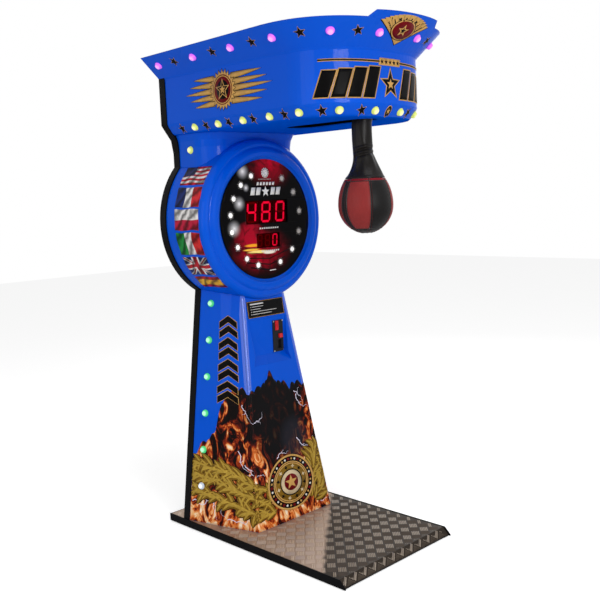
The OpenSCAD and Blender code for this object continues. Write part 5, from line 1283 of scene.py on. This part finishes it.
q = np.linspace(0, 2 * math.pi, 121)[None]
z = np.concatenate([np.linspace(hem, 1.62, 14), np.linspace(1.623, 1.74, 60),
                    np.linspace(1.745, top_of_sleeve, 20)])[:, None]
slack = 0.0065 * np.clip((1.845 - z) / 0.03, 0, 1) * np.clip((z - 1.62) / 0.10, 0, 1)
outer, inside = (np.stack([r * np.cos(q) - 0.71 * slack, pivot_y + r * np.sin(q) + 0.70 * slack, z + 0 * q], -1)
                 for r in (sleeve_radius(z, q, False), sleeve_radius(z, q, True)))
neck, under = (np.stack([bore * np.cos(q), pivot_y + bore * np.sin(q), np.full(q.shape, top_of_sleeve - down)], -1)
               for down in (0.002, 0.005))
inside[-1, :, 2] = top_of_sleeve - 0.005
whole = np.concatenate([outer, neck, under, inside[::-1], outer[:1]])
sleeve = press("leather_sleeve", [(whole, 0)], [black_leather], body="punch_arm")
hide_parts("arm_sleeve")

hem_z = np.full(121, hem + 0.0015)
hem_r = sleeve_radius(hem_z, q[0], False) + 0.0002
ring = np.stack([hem_r * np.cos(q[0]), pivot_y + hem_r * np.sin(q[0]), hem_z], -1)
piece = press("sleeve_binding", [(piping(ring, 0.0016), 0)], [black_leather], body="punch_arm")

# BALL
# Eight leather panels, one of them a narrow closing flap, are sewn edge to edge over a bladder,
# red and black in turn, with a red collar under the hem and a black cap at the foot.
seams = [161.3, 177.3, 231.9, 286.9, 332.9, 378.9, 424.9, 470.9]
panel_red, panel_black = shade(144, 48, 47), shade(22, 21, 21)
steps = sorted((((s + 180) % 360) / 360, panel_red if n % 2 else panel_black) for n, s in enumerate(seams))
centre_z, lower, rise_up, flat_top, collar_z, foot_z = 1.488, 0.114, 0.155, 0.107, 0.097, -0.094
ball_leather = leather("ball_leather", panel_red, 0.40, 0.11, [(0.0, steps[-1][1])] + steps)


def seam_gap(bearing, r):
    """Distance along the surface, at radius r, to the nearest seam."""
    return np.min(np.abs((bearing[..., None] - np.radians(seams) + np.pi) % (2 * np.pi) - np.pi), -1) * r


def ball_radius(z):
    """Radius of the ball at a height over its centre: a circle below, a longer ellipse above."""
    return np.where(z < 0, lower * np.sqrt(np.maximum(0, 1 - (z / lower) ** 2)),
                    lower * np.sqrt(np.maximum(0, 1 - (z / rise_up) ** 2)))


def ball_skin(bearing, way, sink=0.0):
    """Point of the ball: way runs from 0 at the foot to 1 at the flat top; seams are sunk."""
    h = np.where(way < 0.56, -lower * np.cos(np.pi / 2 * np.minimum(1, way / 0.56)),
                 flat_top * np.sin(np.pi / 2 * np.clip((way - 0.56) / 0.44, 0, 1)))
    r = ball_radius(h)
    groove = 0.0024 * np.exp(-(seam_gap(bearing, r) / 0.004) ** 2) * np.clip(r / 0.05, 0, 1)
    for level_z in (collar_z, foot_z):
        groove = groove + 0.0016 * np.exp(-((h - level_z) / 0.003) ** 2)
    r = np.maximum(r - groove - sink, 0)
    return np.stack([r * np.cos(bearing), pivot_y + r * np.sin(bearing), centre_z + h], -1)


bearing, way = np.meshgrid(np.linspace(0, 2 * math.pi, 193), np.linspace(0, 1, 97))
skin = ball_skin(bearing, way, 0.0015 * np.sin(np.pi * way))
lid = skin[-1:].copy()
lid[..., 0], lid[..., 1] = 0, pivot_y
ball = press("leather_ball", [(np.concatenate([skin, lid]), 0)], [ball_leather], body="punch_arm")


def puff(piece, pressure, cap, frames=20):
    """Air is let in: the seams and the top stay pinned, the panels swell under pressure for 20
    frames, and no point moves further than the cap."""
    mesh = piece.data
    co = np.empty(len(mesh.vertices) * 3, np.float32)
    mesh.vertices.foreach_get("co", co)
    rest = co.reshape(-1, 3).copy()
    x, y, z = rest.T
    near = seam_gap(np.arctan2(y - pivot_y, x), np.hypot(x, y - pivot_y))
    fixed = np.where((near < 0.003) | (z > centre_z + 0.095) | (z < centre_z - 0.108))[0]
    group = piece.vertex_groups.new(name="sewn")
    group.add(fixed.tolist(), 1.0, "REPLACE")
    cloth = piece.modifiers.new("air", "CLOTH")
    for key, value in {"quality": 6, "mass": 0.4, "tension_stiffness": 25, "compression_stiffness": 25,
                       "bending_stiffness": 2, "use_pressure": True, "uniform_pressure_force": pressure,
                       "vertex_group_mass": "sewn"}.items():
        setattr(cloth.settings, key, value)
    cloth.settings.effector_weights.gravity = 0
    cloth.collision_settings.use_collision = False
    cloth.collision_settings.use_self_collision = False
    cloth.point_cache.frame_start = 1
    cloth.point_cache.frame_end = frames
    scene = bpy.context.scene
    for f in range(1, frames + 1):
        scene.frame_set(f)
    swollen = piece.evaluated_get(bpy.context.evaluated_depsgraph_get())
    swollen.to_mesh().vertices.foreach_get("co", co)
    moved = co.reshape(-1, 3) - rest
    swollen.to_mesh_clear()
    moved *= np.minimum(1, cap / np.maximum(np.linalg.norm(moved, axis=1, keepdims=True), 1e-9))
    piece.modifiers.remove(cloth)
    piece.vertex_groups.remove(group)
    mesh.vertices.foreach_set("co", (rest + moved).astype(np.float32).ravel())
    mesh.update()
    scene.frame_set(1)


puff(ball, 4.0, 0.0035)
smoother = ball.modifiers.new("smooth", "SUBSURF")
smoother.levels = 1
smoother.render_levels = 1
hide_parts("punch_ball")

# Piping closes every seam, and a row of stitches runs along each side of it.
cord_black = finish("piping", shade(20, 19, 19), 0.4, vary=0.2, grain=500, depth=0.0002)
thread = finish("thread", shade(112, 34, 34), 0.6, vary=0.2, grain=900, depth=0.0001)
cord_points, stitches, stitch_off = 60, 45, 0.0052
parts = []
for s in np.radians(seams):
    cord = ball_skin(np.full(cord_points, s), np.linspace(0.06, 0.965, cord_points))
    parts.append((piping(cord, 0.0017), 0))
    for off in (-1, 1):
        w = np.linspace(0.10, 0.94, stitches + 1)
        h = ball_skin(np.full(stitches + 1, s), w)
        line = ball_skin(s + off * stitch_off / np.maximum(np.hypot(h[:, 0], h[:, 1] - pivot_y), 0.02), w)
        out = line - np.array([0, pivot_y, centre_z])
        line = line + 0.0009 * out / np.linalg.norm(out, axis=1, keepdims=True)
        for k in range(stitches):
            a0, a1 = line[k] + 0.2 * (line[k + 1] - line[k]), line[k] + 0.8 * (line[k + 1] - line[k])
            parts.append((piping(np.linspace(a0, a1, 3), 0.0005, 4), 1))
q = np.linspace(0, 2 * math.pi, 97)
for level_z in (collar_z, foot_z):
    r = float(ball_radius(np.array(level_z))) - 0.0012
    ring = np.stack([r * np.cos(q), pivot_y + r * np.sin(q), np.full(97, centre_z + level_z)], -1)
    parts.append((piping(ring, 0.0016), 0))
piece = press("ball_piping", parts, [cord_black, thread], body="punch_arm")
